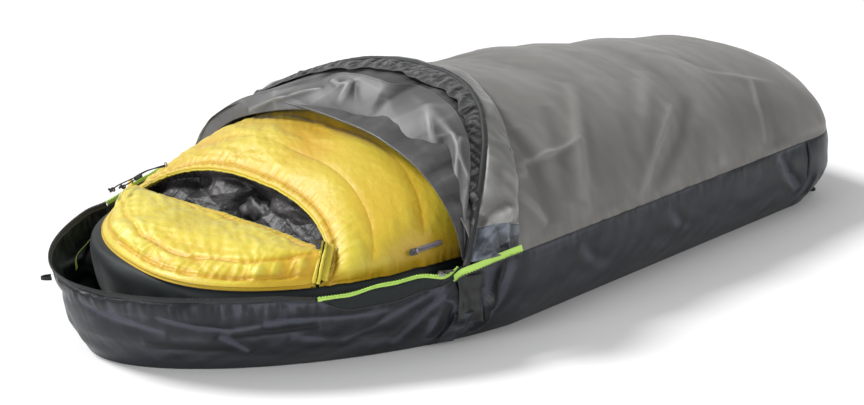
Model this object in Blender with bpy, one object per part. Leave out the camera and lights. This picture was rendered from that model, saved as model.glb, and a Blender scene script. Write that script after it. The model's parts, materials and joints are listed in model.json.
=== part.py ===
"""Bivy sack, hood thrown back, with the sleeping bag that it covers lying inside.

Metres, +Z up. X is the width, Y the length with the head end at -Y and the foot at +Y.
The origin is the middle of the bounding box, on the floor. "near" means the +X side
and "far" the -X side. Fabrics are closed solids FABRIC thick.
"""

import math

import bmesh
import bpy
from mathutils import Matrix, Vector

# ---------------------------------------------------------------- driving dimensions
FABRIC = 0.004  # thickness that stands for a coated fabric
GAP = 0.0004  # running gap between neighbouring pieces

WIDEST_Y = -0.2035  # where the sack is widest, and the round head end begins
FOOT_END_Y = 1.0305  # floor panel, foot end
FLOOR_HALF = 0.444  # widest half width of the floor
FOOT_HALF = 0.300  # half width where the taper would reach the foot end
# The head end is one curve on each side: its handle lengths at the side and at the
# nose, and the nose's place, for the floor and for the rim.
FLOOR_HEAD = (0.338, 0.209, -0.997)
RIM_HEAD = (0.395, 0.268, -1.058)
ORIGIN_Y = 0.0152  # the bounding box's middle, measured from where these places count
FOOT_LENGTH = 0.175  # rounded part of the foot end
ROUND_POWER = 2.5
RIM_HEIGHT = 0.180
RIM_FLARE = 0.076  # the tub wall leans out by this much at the rim
SIDE_STATIONS = 12
BODY_BULGE = 0.058  # the filled sack stands this far outside its floor
BULGE_HEIGHT = 0.116
SEAM_HEIGHT = 0.190  # seam between the tub and the top panel
MOUTH_Y = -0.391  # where the open head part ends
TOP_FRONT_Y = -0.360
TOP_HEIGHTS = [(-0.36, 0.405), (-0.2, 0.420), (0.0, 0.428), (0.3, 0.428), (0.6, 0.400),
               (0.8, 0.375), (1.1, 0.355)]
SECTION_X_POWER = 0.8
SECTION_Z_POWER = 0.9

HINGE_Y = -0.395  # the hood turns about the line through its two zipper ends
HINGE_Z = 0.176
HOOD_HALF = 0.500  # half width of the pole's arch
RIBBON_HALF = 0.490  # collar, outer panel and bug mesh, inside the pole
FLAP_HALF = 0.508  # back flap and gussets, outside it
HOOD_START = 9  # degrees of arch left free at each hinge
POLE_LEAN = 40  # degrees from upright, towards the foot
POLE_RADIUS = 0.384
FLAP_LEAN = 42.5
FLAP_RADIUS = 0.392
COLLAR_LINE = [(0, 0.230), (6, 0.262), (13, 0.292), (20, 0.318)]
OUTER_LINE = [(14, 0.262), (22, 0.300), (31, 0.338), (38.6, 0.3715)]
MESH_LINE = [(28, 0.348), (31.5, 0.364), (35.5, 0.378)]
RIM_ZIP_FRONT_Y = -0.700
SLIDER_Y = -0.452

BAG_HEAD_Y = -0.300  # centre of the bag's rounded head end
BAG_HALF = 0.420
BAG_HEAD_LENGTH = 0.620
BAG_FOOT_HALF = 0.285
BAG_FOOT_Y = 0.800
BAG_FOOT_LENGTH = 0.200
BAG_SEAM_HEIGHT = 0.185
BAG_LOFT = 0.030
BAG_HEIGHTS = [(-0.68, 0.235), (-0.56, 0.305), (-0.5, 0.340), (-0.42, 0.370), (-0.34, 0.385),
               (-0.2, 0.395), (0.0, 0.400), (0.3, 0.400), (0.6, 0.372), (0.8, 0.345),
               (1.1, 0.325)]
LIP_SIDE_Y = -0.680
LIP_TOP_Y = -0.560
LOWER_LIP = [(-0.352, -0.706), (-0.29, -0.702), (-0.2, -0.690), (-0.1, -0.676), (0.0, -0.658),
             (0.1, -0.644), (0.2, -0.634), (0.29, -0.652), (0.352, -0.706)]

SPINE_END_Y = FOOT_END_Y - FOOT_LENGTH
HALF_TURN = math.pi
MERGE = 1e-6

COLOURS = {
    "tub": ((0.062, 0.074, 0.095), 0.42, 0.0),
    "panel": ((0.150, 0.145, 0.135), 0.62, 0.0),
    "lining": ((0.115, 0.115, 0.113), 0.55, 0.0),
    "mesh": ((0.020, 0.020, 0.022), 0.80, 0.0),
    "tape": ((0.012, 0.013, 0.014), 0.60, 0.0),
    "lime": ((0.400, 0.700, 0.120), 0.50, 0.0),
    "pole": ((0.030, 0.030, 0.032), 0.30, 0.0),
    "webbing": ((0.015, 0.015, 0.016), 0.75, 0.0),
    "yellow": ((0.700, 0.540, 0.055), 0.45, 0.0),
    "underside": ((0.030, 0.038, 0.040), 0.50, 0.0),
    "bag_lining": ((0.070, 0.062, 0.066), 0.40, 0.0),
    "zip_metal": ((0.300, 0.300, 0.320), 0.35, 0.9),
    "plastic": ((0.050, 0.052, 0.055), 0.45, 0.0),
    "zip_grey": ((0.300, 0.270, 0.320), 0.60, 0.0),
}


# ---------------------------------------------------------------- small helpers
def power(value, exponent):
    return math.copysign(abs(value) ** exponent, value)


def table_value(table, y):
    """Value at y of the line through the table's points."""
    if y <= table[0][0]:
        return table[0][1]
    for (y0, v0), (y1, v1) in zip(table, table[1:]):
        if y <= y1:
            return v0 + (v1 - v0) * (y - y0) / (y1 - y0)
    return table[-1][1]


def spread(first, last, count):
    return [first + (last - first) * i / (count - 1) for i in range(count)]


def material(slot):
    name = f"{slot}_material"
    if name not in bpy.data.materials:
        colour, roughness, metallic = COLOURS[slot]
        made = bpy.data.materials.new(name)
        made.use_nodes = True
        shader = made.node_tree.nodes["Principled BSDF"]
        shader.inputs["Base Color"].default_value = (*colour, 1.0)
        shader.inputs["Roughness"].default_value = roughness
        shader.inputs["Metallic"].default_value = metallic
    return bpy.data.materials[name]


def pivot_empty(name, place, parent=None):
    """An empty at the given world place, from which moving pieces hang."""
    empty = bpy.data.objects.new(name, None)
    bpy.context.collection.objects.link(empty)
    empty["place"] = place
    empty.location = Vector(place) - Vector(parent["place"] if parent else (0, 0, 0))
    empty.parent = parent
    return empty


def finish_object(name, shape, slot, pivot=None):
    """Close the bmesh, point its faces out and make it an object under its pivot."""
    bmesh.ops.remove_doubles(shape, verts=shape.verts, dist=MERGE)
    bmesh.ops.recalc_face_normals(shape, faces=shape.faces)
    if pivot:
        bmesh.ops.translate(shape, verts=shape.verts, vec=-Vector(pivot["place"]))
    mesh = bpy.data.meshes.new(name)
    shape.to_mesh(mesh)
    shape.free()
    mesh.materials.append(material(slot))
    mesh.shade_smooth()
    mesh.set_sharp_from_angle(angle=math.radians(40))
    piece = bpy.data.objects.new(name, mesh)
    bpy.context.collection.objects.link(piece)
    piece.parent = pivot
    return piece


def loft(name, rings, slot, pivot=None, caps=True):
    """Skin closed rings of equal length, and cap the first and last, or join them."""
    shape = bmesh.new()
    rows = [[shape.verts.new(p) for p in ring] for ring in rings]
    count = len(rows[0])
    if caps:
        shape.faces.new(rows[0])
        shape.faces.new(rows[-1])
    else:
        rows.append(rows[0])
    for row, following in zip(rows, rows[1:]):
        for i in range(count):
            j = (i + 1) % count
            shape.faces.new((row[i], row[j], following[j], following[i]))
    return finish_object(name, shape, slot, pivot)


def slab(name, outer, inner, slot, pivot=None, folded_end=False):
    """A closed solid between two grids of the same size. With folded_end the last row
    is folded onto itself, so it needs no edge strip."""
    shape = bmesh.new()
    top = [[shape.verts.new(p) for p in row] for row in outer]
    low = [[shape.verts.new(p) for p in row] for row in inner]
    rows, columns = len(top), len(top[0])
    for j in range(rows - 1):
        for k in range(columns - 1):
            for grid in (top, low):
                shape.faces.new((grid[j][k], grid[j + 1][k], grid[j + 1][k + 1], grid[j][k + 1]))
    edge_rows = [0] if folded_end else [0, rows - 1]
    for j in edge_rows:
        for k in range(columns - 1):
            shape.faces.new((top[j][k], top[j][k + 1], low[j][k + 1], low[j][k]))
    for k in (0, columns - 1):
        for j in range(rows - 1):
            shape.faces.new((top[j][k], top[j + 1][k], low[j + 1][k], low[j][k]))
    return finish_object(name, shape, slot, pivot)


def frames(path, up=Vector((0, 0, 1))):
    """Side and up vectors at each point of a path."""
    out = []
    for i, point in enumerate(path):
        ahead = Vector(path[min(i + 1, len(path) - 1)])
        behind = Vector(path[max(i - 1, 0)])
        along = (ahead - behind).normalized()
        side = along.cross(up).normalized()
        out.append((Vector(point), side, side.cross(along).normalized()))
    return out


def sweep(name, path, section, slot, pivot=None, up=Vector((0, 0, 1))):
    """Carry a closed section of (side, up) offsets along a path."""
    rings = [[place + side * s + lift * u for s, u in section] for place, side, lift in frames(path, up)]
    return loft(name, rings, slot, pivot)


def circle(radius, sides):
    turn = 2 * HALF_TURN / sides
    return [(radius * math.cos(turn * i), radius * math.sin(turn * i)) for i in range(sides)]


def tube(name, path, radius, bore, sides, slot, pivot=None):
    """A round tube, open at both ends."""
    placed = frames(path)
    rings = [[p + a * s + b * u for s, u in circle(radius, sides)] for p, a, b in placed]
    rings += [[p + a * s + b * u for s, u in circle(bore, sides)] for p, a, b in reversed(placed)]
    return loft(name, rings, slot, pivot, caps=False)


def box_shape(size, centre, turn):
    shape = bmesh.new()
    bmesh.ops.create_cube(shape, size=1.0)
    bmesh.ops.scale(shape, vec=size, verts=shape.verts)
    place = Matrix.Translation(centre) @ turn.to_4x4()
    bmesh.ops.transform(shape, matrix=place, verts=shape.verts)
    return shape


def cut_box(piece, size, centre, turn, slot, pivot):
    """Cut a turned box out of a piece."""
    cutter = finish_object(f"{piece.name}_cutter", box_shape(size, centre, turn), slot, pivot)
    cutter.hide_render = True
    cutter.display_type = "WIRE"
    cut = piece.modifiers.new("hole", "BOOLEAN")
    cut.operation = "DIFFERENCE"
    cut.solver = "EXACT"
    cut.object = cutter


# ---------------------------------------------------------------- outlines
def head_curve(part, offset):
    """Point of the round head end, from the widest place (part 0) to the nose (1), when
    the outline is pushed out by offset. It is a cubic curve with square ends."""
    lean = offset / RIM_FLARE
    side_pull, nose_pull, nose_y = (
        low + (high - low) * lean for low, high in zip(FLOOR_HEAD, RIM_HEAD))
    half = FLOOR_HALF + offset
    corners = [(half, WIDEST_Y), (half, WIDEST_Y - side_pull), (nose_pull, nose_y), (0.0, nose_y)]
    rest = 1 - part
    weights = (rest**3, 3 * rest * rest * part, 3 * rest * part * part, part**3)
    return tuple(sum(w * corner[axis] for w, corner in zip(weights, corners)) for axis in (0, 1))


def head_part(y, offset):
    """Where along head_curve the outline passes y."""
    low, high = 0.0, 1.0
    for _ in range(40):
        middle = (low + high) / 2
        if head_curve(middle, offset)[1] > y:
            low = middle
        else:
            high = middle
    return (low + high) / 2


def side_half(y, offset):
    """Half width of the sack's plan outline, pushed out by offset, up to the foot end."""
    if y < WIDEST_Y:
        return head_curve(head_part(y, offset), offset)[0]
    along = (y - WIDEST_Y) / (FOOT_END_Y - WIDEST_Y)
    return FLOOR_HALF + (FOOT_HALF - FLOOR_HALF) * along + offset


def head_arc(offset, count, end_y):
    """Points of the outline from the near side, round the head, to the far side."""
    near = [head_curve(part, offset) for part in spread(head_part(end_y, offset), 1.0, count)]
    return near + [(-x, y) for x, y in reversed(near[:-1])]


def foot_arc(half, start_y, length, count, last=HALF_TURN):
    """Points of a rounded foot end, from the near side round to angle last."""
    points = []
    for angle in spread(0.0, last, count):
        x = half * power(math.cos(angle), 2 / ROUND_POWER)
        if abs(angle - HALF_TURN / 2) < 1e-9:
            x = 0.0
        points.append((x, start_y + length * abs(math.sin(angle)) ** (2 / ROUND_POWER)))
    return points


def wall_lean(z):
    """How far the filled sack's side stands out of its floor outline at height z."""
    return BODY_BULGE * math.sin(HALF_TURN / 2 * min(z / BULGE_HEIGHT, 1.0))


def body_point(outline_x, outline_y, turn, inset):
    """A point of the filled sack above its widest height: turn goes from 0 at the side
    to a quarter turn at the middle, and the foot end closes towards the spine's end."""
    spine_y = min(outline_y, SPINE_END_Y)
    reach = max(math.cos(turn), 0.0) ** SECTION_X_POWER
    if abs(turn - HALF_TURN / 2) < 1e-9:
        reach = 0.0
    y = spine_y + (outline_y - spine_y) * reach
    top = table_value(TOP_HEIGHTS, y) - inset
    z = BULGE_HEIGHT + (top - BULGE_HEIGHT) * math.sin(turn) ** SECTION_Z_POWER
    return Vector((outline_x * reach, y, z))


def turn_at_height(outline_y, z, inset):
    """The turn at which body_point reaches height z."""
    top = table_value(TOP_HEIGHTS, outline_y) - inset
    return math.asin(((z - BULGE_HEIGHT) / (top - BULGE_HEIGHT)) ** (1 / SECTION_Z_POWER))


def body_height(x, y):
    """Height of the sack's top at a plan position."""
    half = side_half(y, BODY_BULGE)
    side = min(abs(x) / half, 1.0) ** (1 / SECTION_X_POWER)
    top = table_value(TOP_HEIGHTS, y)
    return BULGE_HEIGHT + (top - BULGE_HEIGHT) * math.sqrt(1 - side * side) ** SECTION_Z_POWER


# ---------------------------------------------------------------- the sack
def wall_column(x_sign, outline, inset, top_height):
    """One upright line of the filled sack's tub wall, floor to seam."""
    column = []
    for z in (0.0, 0.025, 0.055, 0.085):
        x, y = outline(wall_lean(z) - inset)
        column.append(Vector((x_sign * x, y, z)))
    x, y = outline(BODY_BULGE - inset)
    last = turn_at_height(y, top_height, inset)
    for turn in spread(0.0, last, 4):
        point = body_point(x, y, turn, inset)
        column.append(Vector((x_sign * point.x, point.y, point.z)))
    column[-1].z = top_height
    return column


def make_tub_side(name, x_sign):
    stations = spread(MOUTH_Y + GAP, SPINE_END_Y - GAP, SIDE_STATIONS)
    grids = []
    for inset in (0.0, FABRIC):
        grids.append([wall_column(x_sign, lambda offset, y=y: (side_half(y, offset), y), inset,
                                  SEAM_HEIGHT) for y in stations])
    slab(name, grids[0], grids[1], "tub")


def foot_outline(angle, offset):
    """One point of the foot end's outline, pushed out by offset."""
    half = side_half(SPINE_END_Y, 0.0) + offset
    x = half * power(math.cos(angle), 2 / ROUND_POWER)
    y = SPINE_END_Y + GAP + (FOOT_LENGTH + offset) * abs(math.sin(angle)) ** (2 / ROUND_POWER)
    return x, y


def make_foot_wall():
    angles = spread(0.0, HALF_TURN, 19)
    grids = []
    for inset in (0.0, FABRIC):
        grids.append([wall_column(1, lambda offset, a=a: foot_outline(a, offset), inset, SEAM_HEIGHT)
                      for a in angles])
    slab("tub_foot_wall", grids[0], grids[1], "tub")


def make_head_wall():
    heights = [0.0, 0.025, 0.055, 0.085, 0.115, 0.145, RIM_HEIGHT]
    grids = []
    for inset in (0.0, FABRIC):
        levels = []
        for z in heights:
            lean = RIM_FLARE * math.sin(HALF_TURN / 2 * z / RIM_HEIGHT)
            levels.append([Vector((x, y, z)) for x, y in head_arc(lean - inset, 15, MOUTH_Y)])
        grids.append(levels)
    slab("tub_head_wall", grids[0], grids[1], "tub")


def make_floor():
    inset = FABRIC + 2 * GAP
    outline = head_arc(-inset, 15, MOUTH_Y)
    stations = spread(MOUTH_Y + GAP, SPINE_END_Y - GAP, SIDE_STATIONS)
    outline = outline + [(-side_half(y, -inset), y) for y in stations]
    half = side_half(SPINE_END_Y, -inset)
    outline += reversed(foot_arc(half, SPINE_END_Y, FOOT_LENGTH - inset, 19)[1:-1])
    outline += [(side_half(y, -inset), y) for y in reversed(stations)]
    rings = [[Vector((x, y, z)) for x, y in outline] for z in (0.0, FABRIC)]
    loft("tub_floor", rings, "tub")


def make_top_panel():
    stations = spread(TOP_FRONT_Y, SPINE_END_Y, 12)
    grids = []
    for inset in (0.0, FABRIC):
        outline = [(side_half(y, BODY_BULGE - inset), y) for y in stations]
        half = side_half(SPINE_END_Y, BODY_BULGE - inset)
        length = FOOT_LENGTH + BODY_BULGE - inset
        outline += foot_arc(half, SPINE_END_Y, length, 8, HALF_TURN / 2)[1:]
        rows = []
        for x, y in outline:
            first = turn_at_height(y, SEAM_HEIGHT + GAP, inset)
            near = [body_point(x, y, turn, inset) for turn in spread(first, HALF_TURN / 2, 9)]
            near[0].z = SEAM_HEIGHT + GAP
            far = [Vector((-p.x, p.y, p.z)) for p in reversed(near[:-1])]
            rows.append(near + far)
        grids.append(rows)
    slab("top_panel", grids[0], grids[1], "panel", folded_end=True)


def rim_path(first_y, last_y, count, x_sign, height):
    """Points along the straight part of the rim, on the wall's middle line."""
    middle = RIM_FLARE - FABRIC / 2
    return [Vector((x_sign * side_half(y, middle), y, height)) for y in spread(first_y, last_y, count)]


def make_rim_trim():
    tape = [(-0.003, 0.0), (0.003, 0.0), (0.003, 0.009), (-0.003, 0.009)]
    arc = head_arc(RIM_FLARE - FABRIC / 2, 15, RIM_ZIP_FRONT_Y - 0.001)
    sweep("rim_zip_tape_head", [Vector((x, y, RIM_HEIGHT + GAP)) for x, y in arc], tape, "tape")
    for side, x_sign in (("near", 1), ("far", -1)):
        path = rim_path(RIM_ZIP_FRONT_Y + 0.001, MOUTH_Y - 0.014, 9, x_sign, RIM_HEIGHT + GAP)
        sweep(f"rim_zip_tape_{side}", path, tape, "lime")


def make_side_trim():
    """Reinforcement patch, sewn-in label tab and stake loops."""
    patch_rows = []
    for lift in (GAP, GAP + 0.0015):
        patch_rows.append([
            [Vector((side_half(y, wall_lean(z) + lift), y, z)) for z in spread(0.055, 0.110, 4)]
            for y in spread(-0.385, -0.325, 4)])
    slab("side_patch_near", patch_rows[1], patch_rows[0], "webbing")
    tab_y, tab_z = -0.300, 0.040
    tab_x = side_half(tab_y, wall_lean(tab_z)) + 0.0080
    upright = Matrix.Identity(3)
    tab = box_shape((0.011, 0.032, 0.0016), (tab_x, tab_y, tab_z), upright)
    finish_object("label_tab", tab, "tape")

    loop_y, loop_z = -1.022, 0.150
    lean = RIM_FLARE * math.sin(HALF_TURN / 2 * loop_z / RIM_HEIGHT)
    loop_x = -side_half(loop_y, lean)
    make_stake_loop("stake_loop_head", Vector((loop_x, loop_y, loop_z)), Vector((-0.45, -0.89, 0)))
    loop_z = 0.012
    for side, x_sign in (("near", 1), ("far", -1)):
        x, y = foot_outline(0.42 * HALF_TURN / 2, wall_lean(loop_z))
        make_stake_loop(f"stake_loop_foot_{side}", Vector((x_sign * x, y, loop_z)),
                        Vector((x_sign * 0.72, 0.69, 0)))


def make_stake_loop(name, root, out):
    """A webbing loop standing out of the wall, sides apart so that a stake fits."""
    clear, reach, half_width, half_height, half_thick = 0.0036, 0.022, 0.010, 0.0035, 0.0009
    out = out.normalized()
    across = out.cross(Vector((0, 0, 1)))
    path = []
    for angle in spread(-HALF_TURN / 2, HALF_TURN / 2, 11):
        path.append(root + out * (clear + reach * math.cos(angle)) + across * half_width * math.sin(angle))
    section = [(-half_thick, -half_height), (half_thick, -half_height),
               (half_thick, half_height), (-half_thick, half_height)]
    sweep(name, path, section, "webbing")


# ---------------------------------------------------------------- the hood
def arch_point(angle, half, lean, radius, shift=(0.0, 0.0)):
    """A point of the hood: angle runs from the near hinge over the top to the far one,
    lean is measured from upright towards the foot."""
    size = max(math.sin(angle), 0.0) ** SECTION_Z_POWER
    x = half * power(math.cos(angle), SECTION_X_POWER)
    y = HINGE_Y + size * radius * math.sin(lean) + shift[0]
    z = HINGE_Z + size * radius * math.cos(lean) + shift[1]
    return Vector((x, y, z))


def on_line(lean, radius):
    """A (lean in degrees, radius) point of the hood's cross-section as (towards foot, up)."""
    return Vector((radius * math.sin(math.radians(lean)), radius * math.cos(math.radians(lean))))


def hood_ribbon(name, line, slot, pivot, first_degrees, count=25, thick=FABRIC):
    """A sheet that follows the arch. line is its cross-section at the top of the arch,
    as (lean in degrees, radius)."""
    first_angle = math.radians(first_degrees)
    grids = []
    for side in (0.5, -0.5):
        rows = []
        for angle in spread(first_angle, HALF_TURN - first_angle, count):
            row = []
            for i, (lean, radius) in enumerate(line):
                before, after = line[max(i - 1, 0)], line[min(i + 1, len(line) - 1)]
                along = (on_line(*after) - on_line(*before)).normalized()
                shift = (-along.y * side * thick, along.x * side * thick)
                row.append(arch_point(angle, RIBBON_HALF, math.radians(lean), radius, shift))
            rows.append(row)
        grids.append(rows)
    slab(name, grids[0], grids[1], slot, pivot)


FLAP_EDGE = [(0.0, -0.095, 0.052), (0.228, -0.098, 0.040), (0.36, -0.150, 0.032),
             (0.44, -0.190, 0.030), (0.462, -0.215, 0.022), (0.492, -0.245, 0.018)]


def flap_edge_point(x):
    """The flap's free edge: it lies a little above the sack's top."""
    side = abs(x)
    y = table_value([(row[0], row[1]) for row in FLAP_EDGE], side)
    lift = table_value([(row[0], row[2]) for row in FLAP_EDGE], side)
    surface = body_height(min(side, side_half(y, BODY_BULGE) * 0.975), y)
    return Vector((x, y, surface + lift))


def flap_row(angle, columns, thick):
    """One line of the flap from the hood's rim down to its free edge."""
    rim = arch_point(angle, FLAP_HALF, math.radians(FLAP_LEAN), FLAP_RADIUS)
    edge = flap_edge_point(rim.x)
    across = (edge - rim).normalized()
    out = Vector((0, across.z, -across.y))
    if out.z < 0:
        out = -out
    out = (out.normalized() + Vector((math.cos(angle), 0, 0))).normalized()
    return [rim.lerp(edge, part) + out * thick for part in spread(0.0, 1.0, columns)]


def make_flap(pivot):
    """Outer side of the hood: panel cloth on top, tub cloth at its two low ends."""
    split = math.radians(22)
    apart = 0.004  # angle between the flap and a gusset
    low = math.radians(HOOD_START)
    parts = [("hood_back_flap", split, HALF_TURN - split, 19, "panel"),
             ("hood_side_gusset_near", low, split - apart, 5, "tub"),
             ("hood_side_gusset_far", HALF_TURN - split + apart, HALF_TURN - low, 5, "tub")]
    for name, first, last, count, slot in parts:
        grids = [[flap_row(angle, 5, thick) for angle in spread(first, last, count)]
                 for thick in (FABRIC, 0.0)]
        slab(name, grids[0], grids[1], slot, pivot)


def make_hood(pivot):
    hood_ribbon("hood_inner_collar", COLLAR_LINE, "lining", pivot, 14)
    hood_ribbon("hood_outer_panel", OUTER_LINE, "panel", pivot, HOOD_START)
    hood_ribbon("hood_bug_mesh", MESH_LINE, "mesh", pivot, 26, thick=0.006)
    pole_start = math.radians(7)
    arc = [arch_point(angle, HOOD_HALF, math.radians(POLE_LEAN), POLE_RADIUS)
           for angle in spread(pole_start, HALF_TURN - pole_start, 33)]
    tube("hood_pole_sleeve", arc, 0.0075, 0.0052, 8, "tape", pivot)
    tube("hood_pole", arc, 0.0045, 0.0030, 8, "pole", pivot)
    make_flap(pivot)
    tape = [(-0.0012, -0.006), (0.0012, -0.006), (0.0012, 0.006), (-0.0012, 0.006)]
    tape_half, length, climb, rise = 0.5135, 0.140, 0.014, 0.010
    for side, x_sign in (("near", 1), ("far", -1)):
        path = []
        for part in spread(0.0, 1.0, 7):
            bow = rise * math.sin(HALF_TURN * part)
            path.append(Vector((x_sign * (tape_half + 0.001 * part), HINGE_Y + 0.012 + length * part,
                                HINGE_Z + 0.014 + climb * part + bow)))
        sweep(f"hood_zip_tape_{side}", path, tape, "lime", pivot)


# ---------------------------------------------------------------- zipper sliders
def axes_from(along, up):
    """Rotation whose X axis lies along, with Z as near to up as it can be."""
    x = along.normalized()
    y = up.cross(x).normalized()
    return Matrix((x, y, x.cross(y))).transposed()


def make_slider(name, place, along, up, slot, size=(0.014, 0.010, 0.005)):
    """Slider body with the bridge its pull hangs from. Its own frame is along the
    zipper, across it, and away from it."""
    turn = axes_from(along, up)
    slide = pivot_empty(f"{name}_place", tuple(place))
    length, width, height = size
    bridge = 0.0042
    profile = [(-0.50 * length, 0), (0.50 * length, 0), (0.50 * length, height), (0.30 * length, height),
               (0.24 * length, height + bridge), (-0.24 * length, height + bridge),
               (-0.30 * length, height), (-0.50 * length, height)]
    rings = []
    for across in (-width / 2, width / 2):
        rings.append([Vector(place) + turn @ Vector((x, across, z)) for x, z in profile])
    body = loft(name, rings, slot, slide)
    middle = Vector(place) + turn @ Vector((0, 0, height + 0.36 * bridge))
    cut_box(body, (0.34 * length, 2 * width, 0.62 * bridge), middle, turn, slot, slide)
    return slide, turn, middle


def make_pull(name, slider, length, slot, reverse=False):
    """A ring through the slider's bridge and the tab beyond it, as one piece that turns
    about the bridge."""
    slide, turn, middle = slider
    hinge = pivot_empty(f"{name}_hinge", tuple(middle), slide)
    sign = -1 if reverse else 1
    thick, half, ring_start, ring_end = 0.0012, 0.0072, -0.0010, 0.0125
    hole_long, hole_wide, hole_middle = 0.0100, 0.0112, 0.0055
    outer = [(ring_start, -half), (ring_end, -half), (length, -half / 2), (length, half / 2),
             (ring_end, half), (ring_start, half)]
    rings = [[middle + turn @ Vector((sign * x, y, z)) for x, y in outer] for z in (-thick / 2, thick / 2)]
    piece = loft(name, rings, slot, hinge)
    centre = middle + turn @ Vector((sign * hole_middle, 0, 0))
    cut_box(piece, (hole_long, hole_wide, 8 * thick), centre, turn, slot, hinge)


def make_rim_sliders():
    above_tape = RIM_HEIGHT + 0.0098
    for side, x_sign in (("near", 1), ("far", -1)):
        path = rim_path(SLIDER_Y - 0.01, SLIDER_Y + 0.01, 3, x_sign, above_tape)
        slider = make_slider(f"rim_slider_{side}", path[1], path[0] - path[2], Vector((0, 0, 1)), "plastic")
        make_pull(f"rim_pull_{side}", slider, 0.030, "webbing", reverse=True)


# ---------------------------------------------------------------- the sleeping bag
def bag_half(y, offset=0.0):
    if y < BAG_HEAD_Y:
        ratio = min((BAG_HEAD_Y - y) / (BAG_HEAD_LENGTH + offset), 1.0)
        return (BAG_HALF + offset) * (1 - ratio**ROUND_POWER) ** (1 / ROUND_POWER)
    along = (y - BAG_HEAD_Y) / (BAG_FOOT_Y - BAG_HEAD_Y)
    return BAG_HALF + (BAG_FOOT_HALF - BAG_HALF) * along + offset


def bag_head_point(angle, offset):
    x = (BAG_HALF + offset) * power(math.cos(angle), 2 / ROUND_POWER)
    y = BAG_HEAD_Y - (BAG_HEAD_LENGTH + offset) * abs(math.sin(angle)) ** (2 / ROUND_POWER)
    return x, y


def bag_ring(offset, z):
    """The bag's whole plan outline at one height."""
    ring = [bag_head_point(angle, offset) for angle in spread(0.0, HALF_TURN, 25)]
    stations = spread(BAG_HEAD_Y, BAG_FOOT_Y, 7)[1:-1]
    ring += [(-bag_half(y, offset), y) for y in stations]
    ring += reversed(foot_arc(BAG_FOOT_HALF + offset, BAG_FOOT_Y, BAG_FOOT_LENGTH + offset, 13))
    ring += [(bag_half(y, offset), y) for y in reversed(stations)]
    return [Vector((x, y, z)) for x, y in ring]


def make_bag_underside(pivot):
    outside = [(-0.058, FABRIC + GAP), (-0.035, 0.030), (-0.012, 0.080), (-0.002, 0.130),
               (0.0, BAG_SEAM_HEIGHT)]
    inside = [(-BAG_LOFT, BAG_SEAM_HEIGHT), (-0.040, 0.100), (-0.066, 0.052), (-0.110, 0.042)]
    rings = [bag_ring(offset, z) for offset, z in outside + inside]
    loft("bag_underside", rings, "underside", pivot)


def bag_point(outline_x, outline_y, spine_end, turn, base, inset):
    spine_y = min(outline_y, spine_end)
    reach = 0.0 if abs(turn - HALF_TURN / 2) < 1e-9 else math.cos(turn) ** SECTION_X_POWER
    y = spine_y + (outline_y - spine_y) * reach
    top = table_value(BAG_HEIGHTS, y) - inset
    z = base + max(top - base, 0.004) * math.sin(turn) ** SECTION_Z_POWER
    return Vector((outline_x * reach, y, z))


def lip_y(turn):
    """Where the upper shell's front edge lies: further forward at the sides."""
    return LIP_SIDE_Y + (LIP_TOP_Y - LIP_SIDE_Y) * math.sin(turn) ** 1.3


def make_bag_upper(pivot):
    turns = spread(0.0, HALF_TURN / 2, 8)
    rear_y = -0.44
    base = BAG_SEAM_HEIGHT + GAP
    grids = []
    for inset in (0.0, BAG_LOFT):
        rows = []
        for part in (0.0, 0.35, 0.7, 1.0):
            near = []
            for turn in turns:
                y = lip_y(turn) + (rear_y - lip_y(turn)) * part
                near.append(bag_point(bag_half(y, -inset), y, BAG_FOOT_Y, turn, base, inset))
            rows.append(near)
        for y in spread(rear_y, BAG_FOOT_Y, 9)[1:]:
            rows.append([bag_point(bag_half(y, -inset), y, BAG_FOOT_Y, turn, base, inset) for turn in turns])
        arc = foot_arc(BAG_FOOT_HALF - inset, BAG_FOOT_Y, BAG_FOOT_LENGTH - inset, 7, HALF_TURN / 2)
        for x, y in arc[1:]:
            rows.append([bag_point(x, y, BAG_FOOT_Y, turn, base, inset) for turn in turns])
        grids.append([near + [Vector((-p.x, p.y, p.z)) for p in reversed(near[:-1])] for near in rows])
    slab("bag_upper_shell", grids[0], grids[1], "yellow", pivot, folded_end=True)


def make_bag_hood(pivot):
    """The flattened hood below the face opening: from the head seam to the lower lip."""
    first = math.asin(((BAG_HEAD_Y - LOWER_LIP[0][1]) / BAG_HEAD_LENGTH) ** (ROUND_POWER / 2))
    base = BAG_SEAM_HEIGHT + GAP
    grids = [[], []]
    for angle in spread(HALF_TURN - first, first, 17):
        rim_x, rim_y = bag_head_point(angle, 0.0)
        lip_x = LOWER_LIP[-1][0] * (1 - 2 * (angle - first) / (HALF_TURN - 2 * first))
        lip = table_value(LOWER_LIP, lip_x)
        end = min(angle - first, HALF_TURN - first - angle) / 0.35
        rise = 0.012 + 0.043 * min(max(end, 0.0), 1.0) ** 0.6
        top, low = [], []
        for part in (0.0, 0.25, 0.5, 0.75, 0.9, 1.0):
            x = lip_x + (rim_x - lip_x) * part
            y = lip + (rim_y - lip) * part
            height = 0.012 + (rise - 0.012) * (1 - part**4)
            top.append(Vector((x, y, base + height)))
            low.append(Vector((x, y, base)))
        grids[0].append(top)
        grids[1].append(low)
    slab("bag_hood_shell", grids[0], grids[1], "yellow", pivot)


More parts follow.
